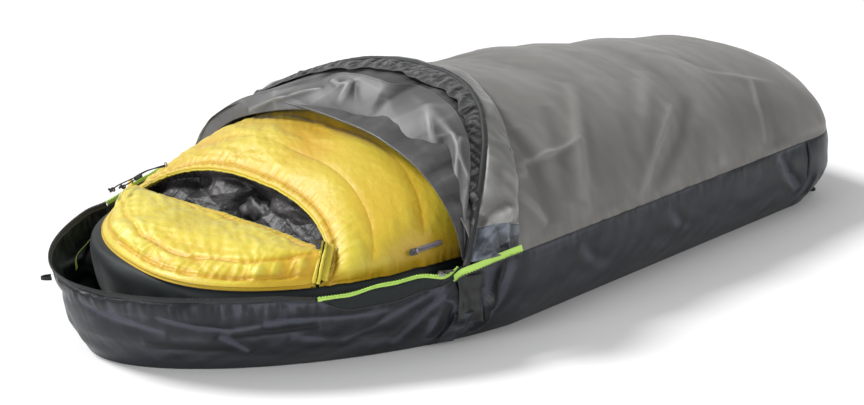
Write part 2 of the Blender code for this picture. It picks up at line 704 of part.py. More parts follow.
def make_bag_inside(pivot):
    """Lining tube, draft collar and the lining that hangs below the lower lip."""
    centre_z, floor_z = 0.160, 0.050
    grids = []
    for skin in (0.0, 0.0025):
        rings = []
        ends = [(y, 1.0) for y in spread(-0.455, 0.76, 9)] + [(0.83, 0.9), (0.875, 0.7)]
        for y, shrink in ends:
            half = (bag_half(min(y, BAG_FOOT_Y)) - BAG_LOFT - 0.016) * shrink - skin
            top = (table_value(BAG_HEIGHTS, y) - BAG_LOFT - 0.006 - centre_z) * shrink - skin
            low = (centre_z - floor_z) * shrink - skin
            ring = []
            for i in range(24):
                angle = 2 * HALF_TURN * i / 24
                rise = power(math.sin(angle), SECTION_Z_POWER)
                ring.append(Vector((half * power(math.cos(angle), SECTION_X_POWER),
                                    y - (skin if y > 0.87 else 0),
                                    centre_z + rise * (top if rise > 0 else low))))
            rings.append(ring)
        grids.append(rings)
    loft("bag_lining", grids[0][::-1] + grids[1], "bag_lining", pivot)

    path = [Vector((x, -0.520 - 0.35 * x * x, 0.205 - 0.20 * x * x)) for x in spread(-0.27, 0.27, 13)]
    sweep("bag_draft_collar", path, circle(0.030, 10), "bag_lining", pivot)

    grids = [[], []]
    for x in spread(-0.27, 0.27, 11):
        lip = table_value(LOWER_LIP, x) + 0.004
        for grid, drop in zip(grids, (0.0, 0.003)):
            grid.append([Vector((x, lip + 0.048 * part, 0.222 - 0.045 * part**0.7 - drop))
                         for part in spread(0.0, 1.0, 4)])
    slab("bag_hood_lining", grids[0], grids[1], "bag_lining", pivot)


def bag_surface(x_sign, y, turn, out):
    """A point just off the upper shell, out metres along its own section's normal."""
    base = BAG_SEAM_HEIGHT + GAP
    point = bag_point(bag_half(y), y, BAG_FOOT_Y, turn, base, 0.0)
    step = 0.02
    ahead = bag_point(bag_half(y), y, BAG_FOOT_Y, turn + step, base, 0.0)
    along = (ahead - point).normalized()
    normal = Vector((along.z, 0, -along.x))
    point = point + normal * out
    return Vector((x_sign * point.x, point.y, point.z)), Vector((x_sign * normal.x, 0, normal.z))


def make_bag_trim(pivot):
    upper = []
    for turn in spread(math.radians(28), HALF_TURN / 2, 10):
        y = lip_y(turn) - 0.0085
        point = bag_point(bag_half(y), y, BAG_FOOT_Y, turn, BAG_SEAM_HEIGHT, 0.004)
        upper.append(point)
    path = upper + [Vector((-p.x, p.y, p.z)) for p in reversed(upper[:-1])]
    sweep("bag_face_piping_upper", path, circle(0.0036, 8), "yellow", pivot)
    path = [Vector((x, table_value(LOWER_LIP, x) + 0.0046, BAG_SEAM_HEIGHT + 0.047))
            for x in spread(-0.24, 0.24, 13)]
    sweep("bag_face_piping_lower", path, circle(0.0036, 8), "yellow", pivot)

    pocket = []
    for y in spread(-0.468, -0.388, 5):
        point, normal = bag_surface(1, y, math.radians(11), 0.0016)
        pocket.append(point)
    flat = [(-0.005, -0.001), (0.005, -0.001), (0.005, 0.001), (-0.005, 0.001)]
    sweep("bag_pocket_zip", pocket, flat, "zip_grey", pivot, up=normal)

    top = Vector((0.300, -0.634, 0.272))
    low = Vector((0.385, -0.690, 0.200))
    across = (low - top).normalized()
    out = Vector((0.62, -0.45, 0.64))
    sweep("bag_zip_tape", [top.lerp(low, part) for part in spread(0.0, 1.0, 5)], flat, "tape", pivot, up=out)

    cord = [Vector((-0.262, -0.652, 0.285)), Vector((-0.262, -0.690, 0.281)),
            Vector((-0.252, -0.735, 0.272)), Vector((-0.240, -0.775, 0.268))]
    sweep("bag_draw_cord", cord, circle(0.0016, 6), "webbing", pivot)
    return pocket, normal, top, across, out, cord


def make_bag_movers(trim):
    pocket, pocket_normal, top, across, out, cord = trim
    lift = 0.0016
    start = pocket[0].lerp(pocket[1], 0.5) + pocket_normal * lift
    slider = make_slider("bag_pocket_slider", start, pocket[-1] - pocket[0], pocket_normal,
                         "zip_metal", (0.010, 0.008, 0.004))
    make_pull("bag_pocket_pull", slider, 0.020, "plastic", reverse=True)
    side = out - across * out.dot(across)
    slider = make_slider("bag_zip_slider", top.lerp(top + across, 0.014) + side.normalized() * lift,
                         across, side, "zip_metal", (0.012, 0.010, 0.005))
    make_pull("bag_zip_pull", slider, 0.028, "plastic")
    middle = cord[1].lerp(cord[2], 0.5)
    along = (cord[2] - cord[1]).normalized()
    place = pivot_empty("bag_cord_lock_place", tuple(middle))
    path = [middle - along * 0.009, middle + along * 0.009]
    tube("bag_cord_lock", path, 0.0055, 0.0026, 10, "plastic", place)


def clear_scene():
    for old in list(bpy.data.objects):
        bpy.data.objects.remove(old, do_unlink=True)


def main():
    clear_scene()
    make_floor()
    make_head_wall()
    make_tub_side("tub_side_near", 1)
    make_tub_side("tub_side_far", -1)
    make_foot_wall()
    make_top_panel()
    make_rim_trim()
    make_side_trim()
    make_rim_sliders()
    make_hood(pivot_empty("hood_axis", (0.0, HINGE_Y, HINGE_Z)))
    bag = pivot_empty("bag_place", (0.0, BAG_HEAD_Y, 0.0))
    make_bag_underside(bag)
    make_bag_upper(bag)
    make_bag_hood(bag)
    make_bag_inside(bag)
    make_bag_movers(make_bag_trim(bag))
    for top_object in bpy.data.objects:
        if top_object.parent is None:
            top_object.location.y -= ORIGIN_Y


main()
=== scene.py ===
import json
import math

import bmesh
import bpy
import numpy as np
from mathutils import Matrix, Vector


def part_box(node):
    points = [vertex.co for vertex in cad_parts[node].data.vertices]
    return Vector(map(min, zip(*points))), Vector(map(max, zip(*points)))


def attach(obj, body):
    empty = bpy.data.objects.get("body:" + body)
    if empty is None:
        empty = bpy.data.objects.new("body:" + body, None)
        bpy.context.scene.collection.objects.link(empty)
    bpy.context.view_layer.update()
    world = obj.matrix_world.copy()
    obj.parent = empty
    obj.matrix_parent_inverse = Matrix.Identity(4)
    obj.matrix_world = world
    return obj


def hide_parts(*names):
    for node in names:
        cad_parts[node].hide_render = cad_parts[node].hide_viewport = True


# Looks of a bivy sack with its hood thrown back and a sleeping bag lying in it.
# Metres, +Z up, head end at -Y, "near" at +X. The cloth is built as grids of points,
# folded and puckered by functions of position. No simulation is run. Each noise, crumple,
# facets and puckers call has its own fixed seed, so every run gives the same folds.

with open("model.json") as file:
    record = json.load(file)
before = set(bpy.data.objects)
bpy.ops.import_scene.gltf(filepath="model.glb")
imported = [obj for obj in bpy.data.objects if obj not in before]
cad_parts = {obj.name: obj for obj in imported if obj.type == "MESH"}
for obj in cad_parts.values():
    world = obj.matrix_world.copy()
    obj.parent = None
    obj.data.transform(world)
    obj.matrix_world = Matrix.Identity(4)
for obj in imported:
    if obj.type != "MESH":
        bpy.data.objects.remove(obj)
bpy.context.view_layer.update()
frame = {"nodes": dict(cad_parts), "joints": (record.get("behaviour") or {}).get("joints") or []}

# ---------------------------------------------------------------- sizes from the frame
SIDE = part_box("tub_side_near")
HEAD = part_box("tub_head_wall")
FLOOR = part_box("tub_floor")
CLOTH = 0.0048  # the CAD floor stands this far inside the tub's outline
MOUTH_Y = SIDE[0].y  # where the open head part of the tub ends
SPINE_END_Y = SIDE[1].y  # where the foot end starts to close
WIDEST_Y = MOUTH_Y + 0.187
FLOOR_HALF = FLOOR[1].x + CLOTH
FOOT_END_Y = FLOOR[1].y + CLOTH
FOOT_HALF = 0.300
FOOT_LENGTH = FOOT_END_Y - SPINE_END_Y
RIM_HEIGHT = HEAD[1].z
RIM_FLARE = 0.076
FLOOR_HEAD = (0.338, 0.209, FLOOR[0].y - CLOTH)  # pull at the side, pull at the nose, nose
RIM_HEAD = (0.395, 0.268, HEAD[0].y)
BODY_BULGE = 0.058
BULGE_HEIGHT = 0.116
SEAM_HEIGHT = SIDE[1].z
TOP_HEIGHTS = [(-0.375, 0.405), (-0.215, 0.420), (-0.015, 0.428), (0.285, 0.428), (0.585, 0.400),
               (0.785, 0.375), (1.085, 0.355)]
ACROSS, UPWARD = 0.8, 0.9  # powers of the rounded cross-sections

HINGE = next(Vector(j["pos_m"]) for j in frame["joints"] if j["name"] == "hood_fold")
HOOD_HALF = 0.500
POLE_LEAN, POLE_RADIUS = 40.0, 0.384

BAG_SEAM_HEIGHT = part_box("bag_underside")[1].z
BAG_HEAD_Y = -0.3152
BAG_HALF = 0.420
BAG_HEAD_LENGTH = BAG_HEAD_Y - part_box("bag_underside")[0].y
BAG_FOOT_Y = 0.7848
BAG_FOOT_HALF = 0.285
BAG_FOOT_LENGTH = 0.200
BAG_HEIGHTS = [(-0.695, 0.235), (-0.575, 0.305), (-0.515, 0.340), (-0.435, 0.370), (-0.355, 0.385),
               (-0.215, 0.395), (-0.015, 0.400), (0.285, 0.400), (0.585, 0.372), (0.785, 0.345),
               (1.085, 0.325)]
LIP_SIDE_Y, LIP_TOP_Y = -0.695, -0.575
LOWER_LIP = [(-0.352, -0.721), (-0.29, -0.717), (-0.2, -0.705), (-0.1, -0.691), (0.0, -0.673),
             (0.1, -0.659), (0.2, -0.651), (0.27, -0.650), (0.318, -0.636)]


# ---------------------------------------------------------------- numbers and noise
MM = 0.001


def power(value, exponent):
    """A power that keeps the sign."""
    return np.sign(value) * np.abs(value) ** exponent


def smooth(value, low, high):
    """0 below low, 1 above high, and an S-curve between them."""
    part = np.clip((value - low) / (high - low), 0, 1)
    return part * part * (3 - 2 * part)


def table(value, points, blur=0.04):
    """Value of the line through the table's points, with its corners rounded."""
    xs, ys = np.array(points, float).T
    return sum(np.interp(value + blur * k, xs, ys) for k in (-1, -0.5, 0, 0.5, 1)) / 5


def noise(points, size, seed):
    """Smooth 3-D gradient noise of about -1 to 1. size is one length or three."""
    place = np.asarray(points, float) / np.asarray(size, float) + 17.3 + 5.71 * seed
    cell = np.floor(place).astype(np.int64)
    part = place - cell
    fade = part**3 * (part * (part * 6 - 15) + 10)
    total = np.zeros(place.shape[:-1])
    for corner in np.ndindex(2, 2, 2):
        at = cell + np.array(corner)
        code = at[..., 0] * 374761393 + at[..., 1] * 668265263 + at[..., 2] * 2147483647 + seed * 97
        code = (code ^ (code >> 13)) * 1274126177
        code = code ^ (code >> 16)
        turn = (code & 1023) * (2 * math.pi / 1024)
        rise = ((code >> 10) & 1023) / 511.5 - 1
        flat = np.sqrt(1 - rise * rise)
        gradient = np.stack([flat * np.cos(turn), flat * np.sin(turn), rise], -1)
        weight = np.prod(np.where(np.array(corner), fade, 1 - fade), -1)
        total += weight * (gradient * (part - np.array(corner))).sum(-1)
    return total * 1.7


def crumple(points, size, seed, levels):
    """Sharp-edged crinkles, about -1 to 1: ridges where the noise changes sign."""
    total, weight = 0.0, 1.0
    for level in range(levels):
        waves = noise(points, np.asarray(size) / 1.9**level, seed + level)
        total = total + weight * (0.55 - 2 * np.abs(waves))
        weight *= 0.55
    return total / 1.4


def facets(points, size, seed, count, warp=0.30):
    """Nearly flat facets with crisp creases between them, about -1 to 1."""
    chance = np.random.default_rng(seed)
    size = np.asarray(size, float)
    bend = warp * noise(points, 2.2 * size, seed + 50)
    total = 0.0
    for i in range(count):
        direction = chance.normal(size=3)
        direction *= chance.uniform(0.7, 1.5) / np.linalg.norm(direction)
        phase = (points / size) @ direction + chance.uniform() + bend
        weight = 0.5 + 0.5 * np.clip(1.8 * noise(points, 1.8 * size, seed + i + 1), -1, 1)
        total = total + weight * (1 - 4 * np.abs(phase - np.floor(phase + 0.5)))
    return total / math.sqrt(count)


def crease(points, line, width, round_top):
    """1 on a line through the given places, falling to 0 away from it and at its ends."""
    line = np.array(line, float)
    best = np.full(points.shape[:-1], 1e9)
    along = np.zeros(points.shape[:-1])
    lengths = np.linalg.norm(np.diff(line, axis=0), axis=1)
    total, passed = lengths.sum(), 0.0
    for a, b, length in zip(line, line[1:], lengths):
        step = (b - a) / length
        t = np.clip((points - a) @ step, 0, length)
        distance = np.linalg.norm(points - a - t[..., None] * step, axis=-1)
        nearer = distance < best
        best = np.where(nearer, distance, best)
        along = np.where(nearer, passed + t, along)
        passed += length
    ends = np.sin(np.pi * np.clip(along / total, 0.0, 1.0)) ** 0.6
    shape = np.exp(-((best / width) ** 2)) if round_top else np.exp(-best / width)
    return shape * ends


def mirrored(line):
    return [(-x, y, z) for x, y, z in line]


def creases(points, folds, scale=1.0, both_sides=False):
    """All folds of a list together: each has its places in millimetres, then its height and
    width in millimetres, and 1 for a round top."""
    total = 0.0
    for line, height, width, round_top in folds:
        line = [[MM * value for value in place] for place in line]
        for way in [line, mirrored(line)] if both_sides else [line]:
            total = total + scale * MM * height * crease(points, way, MM * width, round_top)
    return total


def bell(value, middle, width):
    """1 at the middle, falling smoothly to 0 on both sides."""
    return np.exp(-((value - middle) / width) ** 2)


def puckers(along, away, pitch, reach, seed):
    """Gathers that run away from a seam: along and away are distances in metres."""
    place = np.stack([along / pitch, away / (6 * pitch), np.zeros_like(along)], -1)
    waves = 0.7 * crumple(place, 1.0, seed, 2) + 0.5 * noise(place, 1.7, seed + 5)
    return waves * np.exp(-np.abs(away) / reach)


# ---------------------------------------------------------------- grids of points
def lengths_along(grid, axis):
    """Mean distance travelled along one axis of a grid, in metres."""
    steps = np.linalg.norm(np.diff(grid, axis=axis), axis=-1).mean(axis=1 - axis)
    return np.concatenate([[0], np.cumsum(steps)])


def rows_gone(grid):
    """Mean distance travelled down the rows, for every point of a grid."""
    return lengths_along(grid, 0)[:, None] + np.zeros(grid.shape[1])[None]


def even(parameter, points, count):
    """Values of the parameter that are evenly spaced along its curve."""
    gone = np.concatenate([[0], np.cumsum(np.linalg.norm(np.diff(points, axis=0), axis=1))])
    return np.interp(np.linspace(0, gone[-1], count), gone, parameter)


def soften(grid, rounds, axis=0):
    """Round off corners along one axis, leaving the two ends."""
    grid = np.moveaxis(grid.copy(), axis, 0)
    for _ in range(rounds):
        grid[1:-1] = 0.25 * grid[:-2] + 0.5 * grid[1:-1] + 0.25 * grid[2:]
    return np.moveaxis(grid, 0, axis)


def normals(grid, outward):
    """Unit normals of a grid, on the side that outward points to at its middle."""
    across = np.cross(np.gradient(grid, axis=0), np.gradient(grid, axis=1))
    size = np.linalg.norm(across, axis=-1, keepdims=True)
    across = across / np.maximum(size, 1e-12)
    middle = across[grid.shape[0] // 2, grid.shape[1] // 2]
    return across if middle @ np.array(outward, float) > 0 else -across


def push(grid, amount, outward):
    """Move a grid's points along their normals."""
    return grid + normals(grid, outward) * np.asarray(amount)[..., None]


def blurred(amount):
    """Mean over the neighbourhood, for a grid of single values."""
    return soften(soften(amount[..., None], 14, 0), 14, 1)[..., 0]


def painted_fold_shade(before, after, outward, span):
    """0 in the folds' valleys and 1 on their sharp ridges: painted shade and painted highlight for the
    colour.
    """
    moved = ((after - before) * normals(before, outward)).sum(-1)
    return np.clip(0.5 + (moved - blurred(moved)) / (0.36 * span) + moved / (6 * span), 0, 1)


# ---------------------------------------------------------------- objects
def link(name, data):
    piece = bpy.data.objects.new(name, data)
    bpy.context.scene.collection.objects.link(piece)
    return piece


def grid_piece(name, grid, fold=None):
    """A sheet of quads with UVs in metres. fold, the painted shade and highlight of the folds, is stored for
    the material.
    """
    rows, columns = grid.shape[:2]
    index = np.arange(rows * columns).reshape(rows, columns)
    faces = np.stack([index[:-1, :-1], index[1:, :-1], index[1:, 1:], index[:-1, 1:]], -1).reshape(-1, 4)
    mesh = bpy.data.meshes.new(name)
    mesh.from_pydata(grid.reshape(-1, 3).tolist(), [], faces.tolist())
    u, v = np.meshgrid(lengths_along(grid, 0), lengths_along(grid, 1), indexing="ij")
    uv = np.stack([u, v], -1).reshape(-1, 2)
    layer = mesh.uv_layers.new(name="UVMap")
    layer.data.foreach_set("uv", uv[faces.ravel()].astype(np.float32).ravel())
    values = np.full(rows * columns, 0.5) if fold is None else fold.ravel()
    attribute = mesh.attributes.new("fold", "FLOAT", "POINT")
    attribute.data.foreach_set("value", values.astype(np.float32))
    return link(name, mesh)


def weld(piece):
    """Join points that lie on each other."""
    touching = 2e-5
    shape = bmesh.new()
    shape.from_mesh(piece.data)
    bmesh.ops.remove_doubles(shape, verts=shape.verts, dist=touching)
    shape.to_mesh(piece.data)
    shape.free()
    return piece


def turn_out(piece):
    """Make a sheet's faces point away from the sack's middle."""
    centres = np.empty(len(piece.data.polygons) * 3)
    directions = np.empty_like(centres)
    piece.data.polygons.foreach_get("center", centres)
    piece.data.polygons.foreach_get("normal", directions)
    away = centres.reshape(-1, 3) - np.array([0, -0.10, 0.05])
    if (away * directions.reshape(-1, 3)).sum() < 0:
        piece.data.flip_normals()


def dress(piece, body, materials, thick=0.0, replaces=(), side=-1.0):
    """Materials, cloth thickness and the body that a finished piece rides on."""
    for item in materials if isinstance(materials, (list, tuple)) else [materials]:
        piece.data.materials.append(item)
    piece.data.shade_smooth()
    if thick:
        solid = piece.modifiers.new("thickness", "SOLIDIFY")
        solid.thickness = thick
        solid.offset = side
        if len(piece.data.materials) > 1:
            solid.material_offset = 1
    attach(piece, body)
    if replaces:
        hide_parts(*replaces)


def sheet(name, grid, body, materials, thick=0.0014, replaces=(), fold=None, welded=False):
    """A grid as a finished sheet of cloth, thickened to both sides."""
    piece = grid_piece(name, grid, fold)
    if welded:
        weld(piece)
    dress(piece, body, materials, thick, replaces, side=0.0)


def outer_sheet(name, grid, body, materials, thick, replaces, fold, welded=False):
    """A sheet whose first material shows outside: its thickness goes inwards."""
    piece = grid_piece(name, grid, fold)
    if welded:
        weld(piece)
    turn_out(piece)
    dress(piece, body, materials, thick, replaces)


def path_frames(path, up):
    """Along, side and up vectors at each point of a path."""
    path = np.asarray(path, float)
    along = np.gradient(path, axis=0)
    along /= np.linalg.norm(along, axis=1, keepdims=True)
    up = np.broadcast_to(np.asarray(up, float), path.shape)
    side = np.cross(along, up)
    side /= np.linalg.norm(side, axis=1, keepdims=True)
    return along, side, np.cross(side, along)


def smooth_path(points, count):
    """A round curve through the given places, evenly stepped."""
    points = np.asarray(points, float)
    padded = np.concatenate([2 * points[:1] - points[1:2], points, 2 * points[-1:] - points[-2:-1]])
    out = []
    for i in range(len(points) - 1):
        a, b, c, d = padded[i:i + 4]
        for t in np.linspace(0, 1, 24, endpoint=False):
            out.append(0.5 * (2 * b + (c - a) * t + (2 * a - 5 * b + 4 * c - d) * t**2
                              + (3 * b - a - 3 * c + d) * t**3))
    out = np.array(out + [points[-1]])
    return np.stack([even(out[:, k], out, count) for k in range(3)], -1)


def rod(name, path, radius, sides, up):
    """A round cord or piping along a path, with closed ends. radius may vary."""
    along, side, lift = path_frames(path, up)
    turn = np.linspace(0, 2 * math.pi, sides + 1)[None, :, None]
    radius = np.broadcast_to(np.asarray(radius, float), (len(path),))[:, None, None]
    ring = radius * (np.cos(turn) * side[:, None] + np.sin(turn) * lift[:, None])
    grid = np.asarray(path)[:, None] + ring
    ends = [np.repeat(np.asarray(path)[i][None, None], sides + 1, axis=1) for i in (0, -1)]
    grid = np.concatenate([ends[0], grid, ends[1]])
    return weld(grid_piece(name, grid))


def cord(name, path, radius, body, material, sides=8, up=(0, 0, 1), replaces=()):
    """A finished rod: one that needs no cloth thickness."""
    dress(rod(name, path, radius, sides, up), body, material, 0.0, replaces)


def ribbon_grid(path, across, width, columns):
    """A flat band along a path: across is the direction of its width."""
    across = np.broadcast_to(np.asarray(across, float), np.shape(path))
    across = across / np.linalg.norm(across, axis=1, keepdims=True)
    offsets = np.linspace(-0.5, 0.5, columns)[None, :, None] * width
    return np.asarray(path)[:, None] + across[:, None] * offsets


BRICK_FACES = [(0, 3, 2, 1), (4, 5, 6, 7), (0, 1, 5, 4), (1, 2, 6, 5), (2, 3, 7, 6), (3, 0, 4, 7)]


def repeat_shape(name, corners, places, axes):
    """One mesh holding a small block at each place. axes is (count, 3, 3)."""
    corners = np.asarray(corners, float)
    points = np.einsum("kc,ncd->nkd", corners, axes) + places[:, None]
    count = len(corners)
    all_faces = [[v + count * n for v in face] for n in range(len(places)) for face in BRICK_FACES]
    mesh = bpy.data.meshes.new(name)
    mesh.from_pydata(points.reshape(-1, 3).tolist(), [], all_faces)
    return link(name, mesh)


def brick(length, width, height):
    """Corners of a small block that narrows upwards."""
    taper = 0.7
    low = [(-length / 2, -width / 2, 0), (length / 2, -width / 2, 0), (length / 2, width / 2, 0),
           (-length / 2, width / 2, 0)]
    return low + [(x * taper, y * taper, height) for x, y, _ in low]


def along_path(path, up, pitch):
    """Places and axes at an even pitch along a path."""
    path = np.asarray(path, float)
    total = np.linalg.norm(np.diff(path, axis=0), axis=1).sum()
    count = max(int(total / pitch), 2)
    if np.ndim(up) == 2:
        up = np.stack([even(np.asarray(up)[:, k], path, count) for k in range(3)], -1)
    places = np.stack([even(path[:, k], path, count) for k in range(3)], -1)
    along, side, lift = path_frames(places, up)
    return places, np.stack([along, side, lift], 1)


def stitches(name, path, up, body, material, pitch, lift=0.0004):
    """A line of thread stitches that stand a little proud of the cloth."""
    places, axes = along_path(path, up, pitch)
    corners = brick(pitch * 0.62, 0.0011, 0.0008)
    dress(repeat_shape(name, corners, places + axes[:, 2] * lift, axes), body, material)


def zip_teeth(name, path, up, body, material, pitch=0.0032, width=0.0052):
    """Coil teeth, each shifted to the other side of the chain from the last."""
    places, axes = along_path(path, up, pitch)
    shift = np.where(np.arange(len(places)) % 2, 1, -1)[:, None] * width * 0.16
    corners = brick(pitch * 0.55, width, 0.0018)
    dress(repeat_shape(name, corners, places + axes[:, 1] * shift, axes), body, material)


# ---------------------------------------------------------------- materials
def node(tree, kind, inputs=None, **settings):
    """A shader node. inputs are values, or sockets of other nodes to link."""
    made = tree.nodes.new(kind)
    for key, value in settings.items():
        setattr(made, key, value)
    for key, value in (inputs or {}).items():
        if isinstance(value, bpy.types.NodeSocket):
            tree.links.new(value, made.inputs[key])
        else:
            made.inputs[key].default_value = value
    return made


def new_material(name, **sockets):
    """A material, its node tree and its shader, with values set on the shader's sockets."""
    made = bpy.data.materials.new(name)
    made.use_nodes = True
    shader = made.node_tree.nodes["Principled BSDF"]
    for key, value in sockets.items():
        shader.inputs[key.replace("_", " ")].default_value = value
    return made, made.node_tree, shader


def mix(tree, factor, first, second, blend="MIX"):
    made = node(tree, "ShaderNodeMix", data_type="RGBA", blend_type=blend)
    for key, value in ((0, factor), (6, first), (7, second)):
        if isinstance(value, bpy.types.NodeSocket):
            tree.links.new(value, made.inputs[key])
        else:
            made.inputs[key].default_value = value if key == 0 or len(value) == 4 else (*value, 1)
    return made.outputs[2]


def ranged(tree, value, low, high, from_low=0.3, from_high=0.7):
    """Map a socket's value from one range to another."""
    return node(tree, "ShaderNodeMapRange", {0: value, 1: from_low, 2: from_high, 3: low, 4: high}).outputs[0]


def fabric(name, colour, shaded_valley, lit_ridge, roughness, sheen=0.0, weave=0.0011, weave_depth=0.00008,
           crinkle=0.014, crinkle_depth=0.0005, fold_power=1.0, spread=0.08, shine=0.5):
    """Woven cloth: shaded_valley and lit_ridge are painted shade and painted highlight, the colours taken in
    the folds' valleys and on their ridges.
    """
    made, tree, shader = new_material(name, Sheen_Weight=sheen, Sheen_Roughness=0.4, Specular_IOR_Level=shine)
    coords = node(tree, "ShaderNodeTexCoord")
    place, flat = coords.outputs["Object"], coords.outputs["UV"]
    fold = node(tree, "ShaderNodeAttribute", attribute_name="fold").outputs["Fac"]
    cloudy = node(tree, "ShaderNodeTexNoise", {"Vector": place, "Scale": 7.0, "Detail": 5.0,
                                               "Roughness": 0.6}).outputs["Fac"]
    # Painted highlight towards lit_ridge where the stored fold value is high, painted shade towards
    # shaded_valley where it is low.
    tint = mix(tree, ranged(tree, fold, 0.0, 1.0, 0.5, 0.95), colour, lit_ridge)
    tint = mix(tree, ranged(tree, fold, fold_power, 0.0, 0.05, 0.5), tint, shaded_valley)
    shade = ranged(tree, cloudy, 1 - spread, 1 + spread)
    grey = node(tree, "ShaderNodeCombineColor", {0: shade, 1: shade, 2: shade}).outputs[0]
    tint = mix(tree, 1.0, tint, grey, "MULTIPLY")
    threads = [node(tree, "ShaderNodeTexWave", {"Vector": flat, "Scale": 0.314 / weave},
                    bands_direction=way).outputs["Fac"] for way in ("X", "Y")]
    cloth = node(tree, "ShaderNodeMath", {0: threads[0], 1: threads[1]}, operation="MULTIPLY").outputs[0]
    # The gaps between the threads darken towards shaded_valley: painted shade of the weave.
    tint = mix(tree, ranged(tree, cloth, 0.10, 0.0, 0.0, 0.5), tint, shaded_valley)
    tree.links.new(tint, shader.inputs["Base Color"])
    tree.links.new(ranged(tree, cloudy, roughness - 0.05, roughness + 0.06), shader.inputs["Roughness"])
    small = node(tree, "ShaderNodeTexNoise", {"Vector": place, "Scale": 1 / crinkle, "Detail": 4.0,
                                              "Roughness": 0.55, "Distortion": 0.5}).outputs["Fac"]
    bump = node(tree, "ShaderNodeBump", {"Height": small, "Distance": crinkle_depth, "Strength": 1.0})
    bump = node(tree, "ShaderNodeBump", {"Height": cloth, "Distance": weave_depth, "Strength": 1.0,
                                         "Normal": bump.outputs["Normal"]})
    tree.links.new(bump.outputs["Normal"], shader.inputs["Normal"])
    return made


def hard_surface(name, colour, roughness, metallic=0.0):
    """Moulded plastic or cast metal with a faint grain and worn patches."""
    grain, depth = 0.002, 0.0001  # metres
    made, tree, shader = new_material(name, Metallic=metallic)
    place = node(tree, "ShaderNodeTexCoord").outputs["Object"]
    wear = node(tree, "ShaderNodeTexNoise", {"Vector": place, "Scale": 160.0, "Detail": 6.0}).outputs["Fac"]
    lighter = tuple(min(1.0, c * 1.5 + 0.01) for c in colour)
    tint = mix(tree, ranged(tree, wear, 0.0, 1.0, 0.45, 0.75), colour, lighter)
    tree.links.new(tint, shader.inputs["Base Color"])
    tree.links.new(ranged(tree, wear, roughness - 0.08, roughness + 0.1), shader.inputs["Roughness"])
    fine = node(tree, "ShaderNodeTexNoise", {"Vector": place, "Scale": 1 / grain,
                                             "Detail": 3.0}).outputs["Fac"]
    bump = node(tree, "ShaderNodeBump", {"Height": fine, "Distance": depth, "Strength": 1.0})
    tree.links.new(bump.outputs["Normal"], shader.inputs["Normal"])
    return made


ZIP_WEAVE = {"weave": 0.0018, "weave_depth": 0.0002, "crinkle": 0.01, "crinkle_depth": 0.0001}
# name, colour, painted shade in the folds' valleys, painted highlight on their ridges, roughness, sheen
TUB = fabric("tub_cloth", (0.018, 0.02, 0.025), (0.005, 0.006, 0.008), (0.058, 0.063, 0.082),
             0.36, 0.0, crinkle=0.02, crinkle_depth=0.0006, shine=0.28)
TUB_INSIDE = fabric("tub_cloth_inside", (0.014, 0.019, 0.018), (0.006, 0.008, 0.008), (0.04, 0.05, 0.045),
                    0.38, crinkle=0.016, crinkle_depth=0.0012)
PANEL = fabric("panel_laminate", (0.15, 0.144, 0.134), (0.112, 0.107, 0.1), (0.205, 0.198, 0.186),
               0.58, 0.25, crinkle=0.03, crinkle_depth=0.0006)
COLLAR = fabric("hood_lining_cloth", (0.078, 0.078, 0.079), (0.04, 0.04, 0.041), (0.21, 0.21, 0.212),
                0.5, 0.08, crinkle=0.03, crinkle_depth=0.0002)
LINING = fabric("hood_inner_face", (0.046, 0.046, 0.048), (0.024, 0.024, 0.025), (0.085, 0.085, 0.087),
                0.42, 0.15, crinkle=0.025, crinkle_depth=0.0008)
NET = fabric("insect_net", (0.016, 0.016, 0.018), (0.006, 0.006, 0.007), (0.075, 0.075, 0.08),
             0.55, 0.3, weave=0.0016, weave_depth=0.0003, crinkle=0.01, crinkle_depth=0.0016)
GUSSET = fabric("gusset_cloth", (0.045, 0.055, 0.07), (0.016, 0.02, 0.026), (0.16, 0.18, 0.22),
                0.26, 0.05, crinkle=0.016, crinkle_depth=0.001)
TAPE = fabric("zip_tape_dark", (0.012, 0.013, 0.014), (0.008, 0.008, 0.009), (0.02, 0.021, 0.023),
              0.6, 0.15, **ZIP_WEAVE)
LIME = fabric("zip_tape_lime", (0.46, 0.72, 0.13), (0.33, 0.55, 0.08), (0.55, 0.8, 0.22),
              0.55, 0.15, **ZIP_WEAVE)
WEBBING = fabric("webbing_black", (0.014, 0.014, 0.015), (0.008, 0.008, 0.009), (0.024, 0.024, 0.026),
                 0.72, 0.2, weave=0.0024, weave_depth=0.0004, crinkle=0.01, crinkle_depth=0.0001)
PATCH = fabric("patch_cloth", (0.02, 0.021, 0.022), (0.012, 0.012, 0.013), (0.03, 0.032, 0.034),
               0.55, 0.1, weave=0.0022, weave_depth=0.0002)
# A lighter copy of the panel laminate, with a brighter ridge colour: painted light, where the hood's flap is
# lit brightly.
PANEL_LIT = fabric("panel_laminate_lit", (0.165, 0.163, 0.158), (0.115, 0.113, 0.11), (0.27, 0.268, 0.262),
                     0.5, 0.25, crinkle=0.03, crinkle_depth=0.0005)
YELLOW = fabric("shell_yellow", (0.6, 0.49, 0.036), (0.54, 0.32, 0.008), (0.68, 0.61, 0.12),
                0.4, 0.2, crinkle=0.013, crinkle_depth=0.0012, spread=0.05)
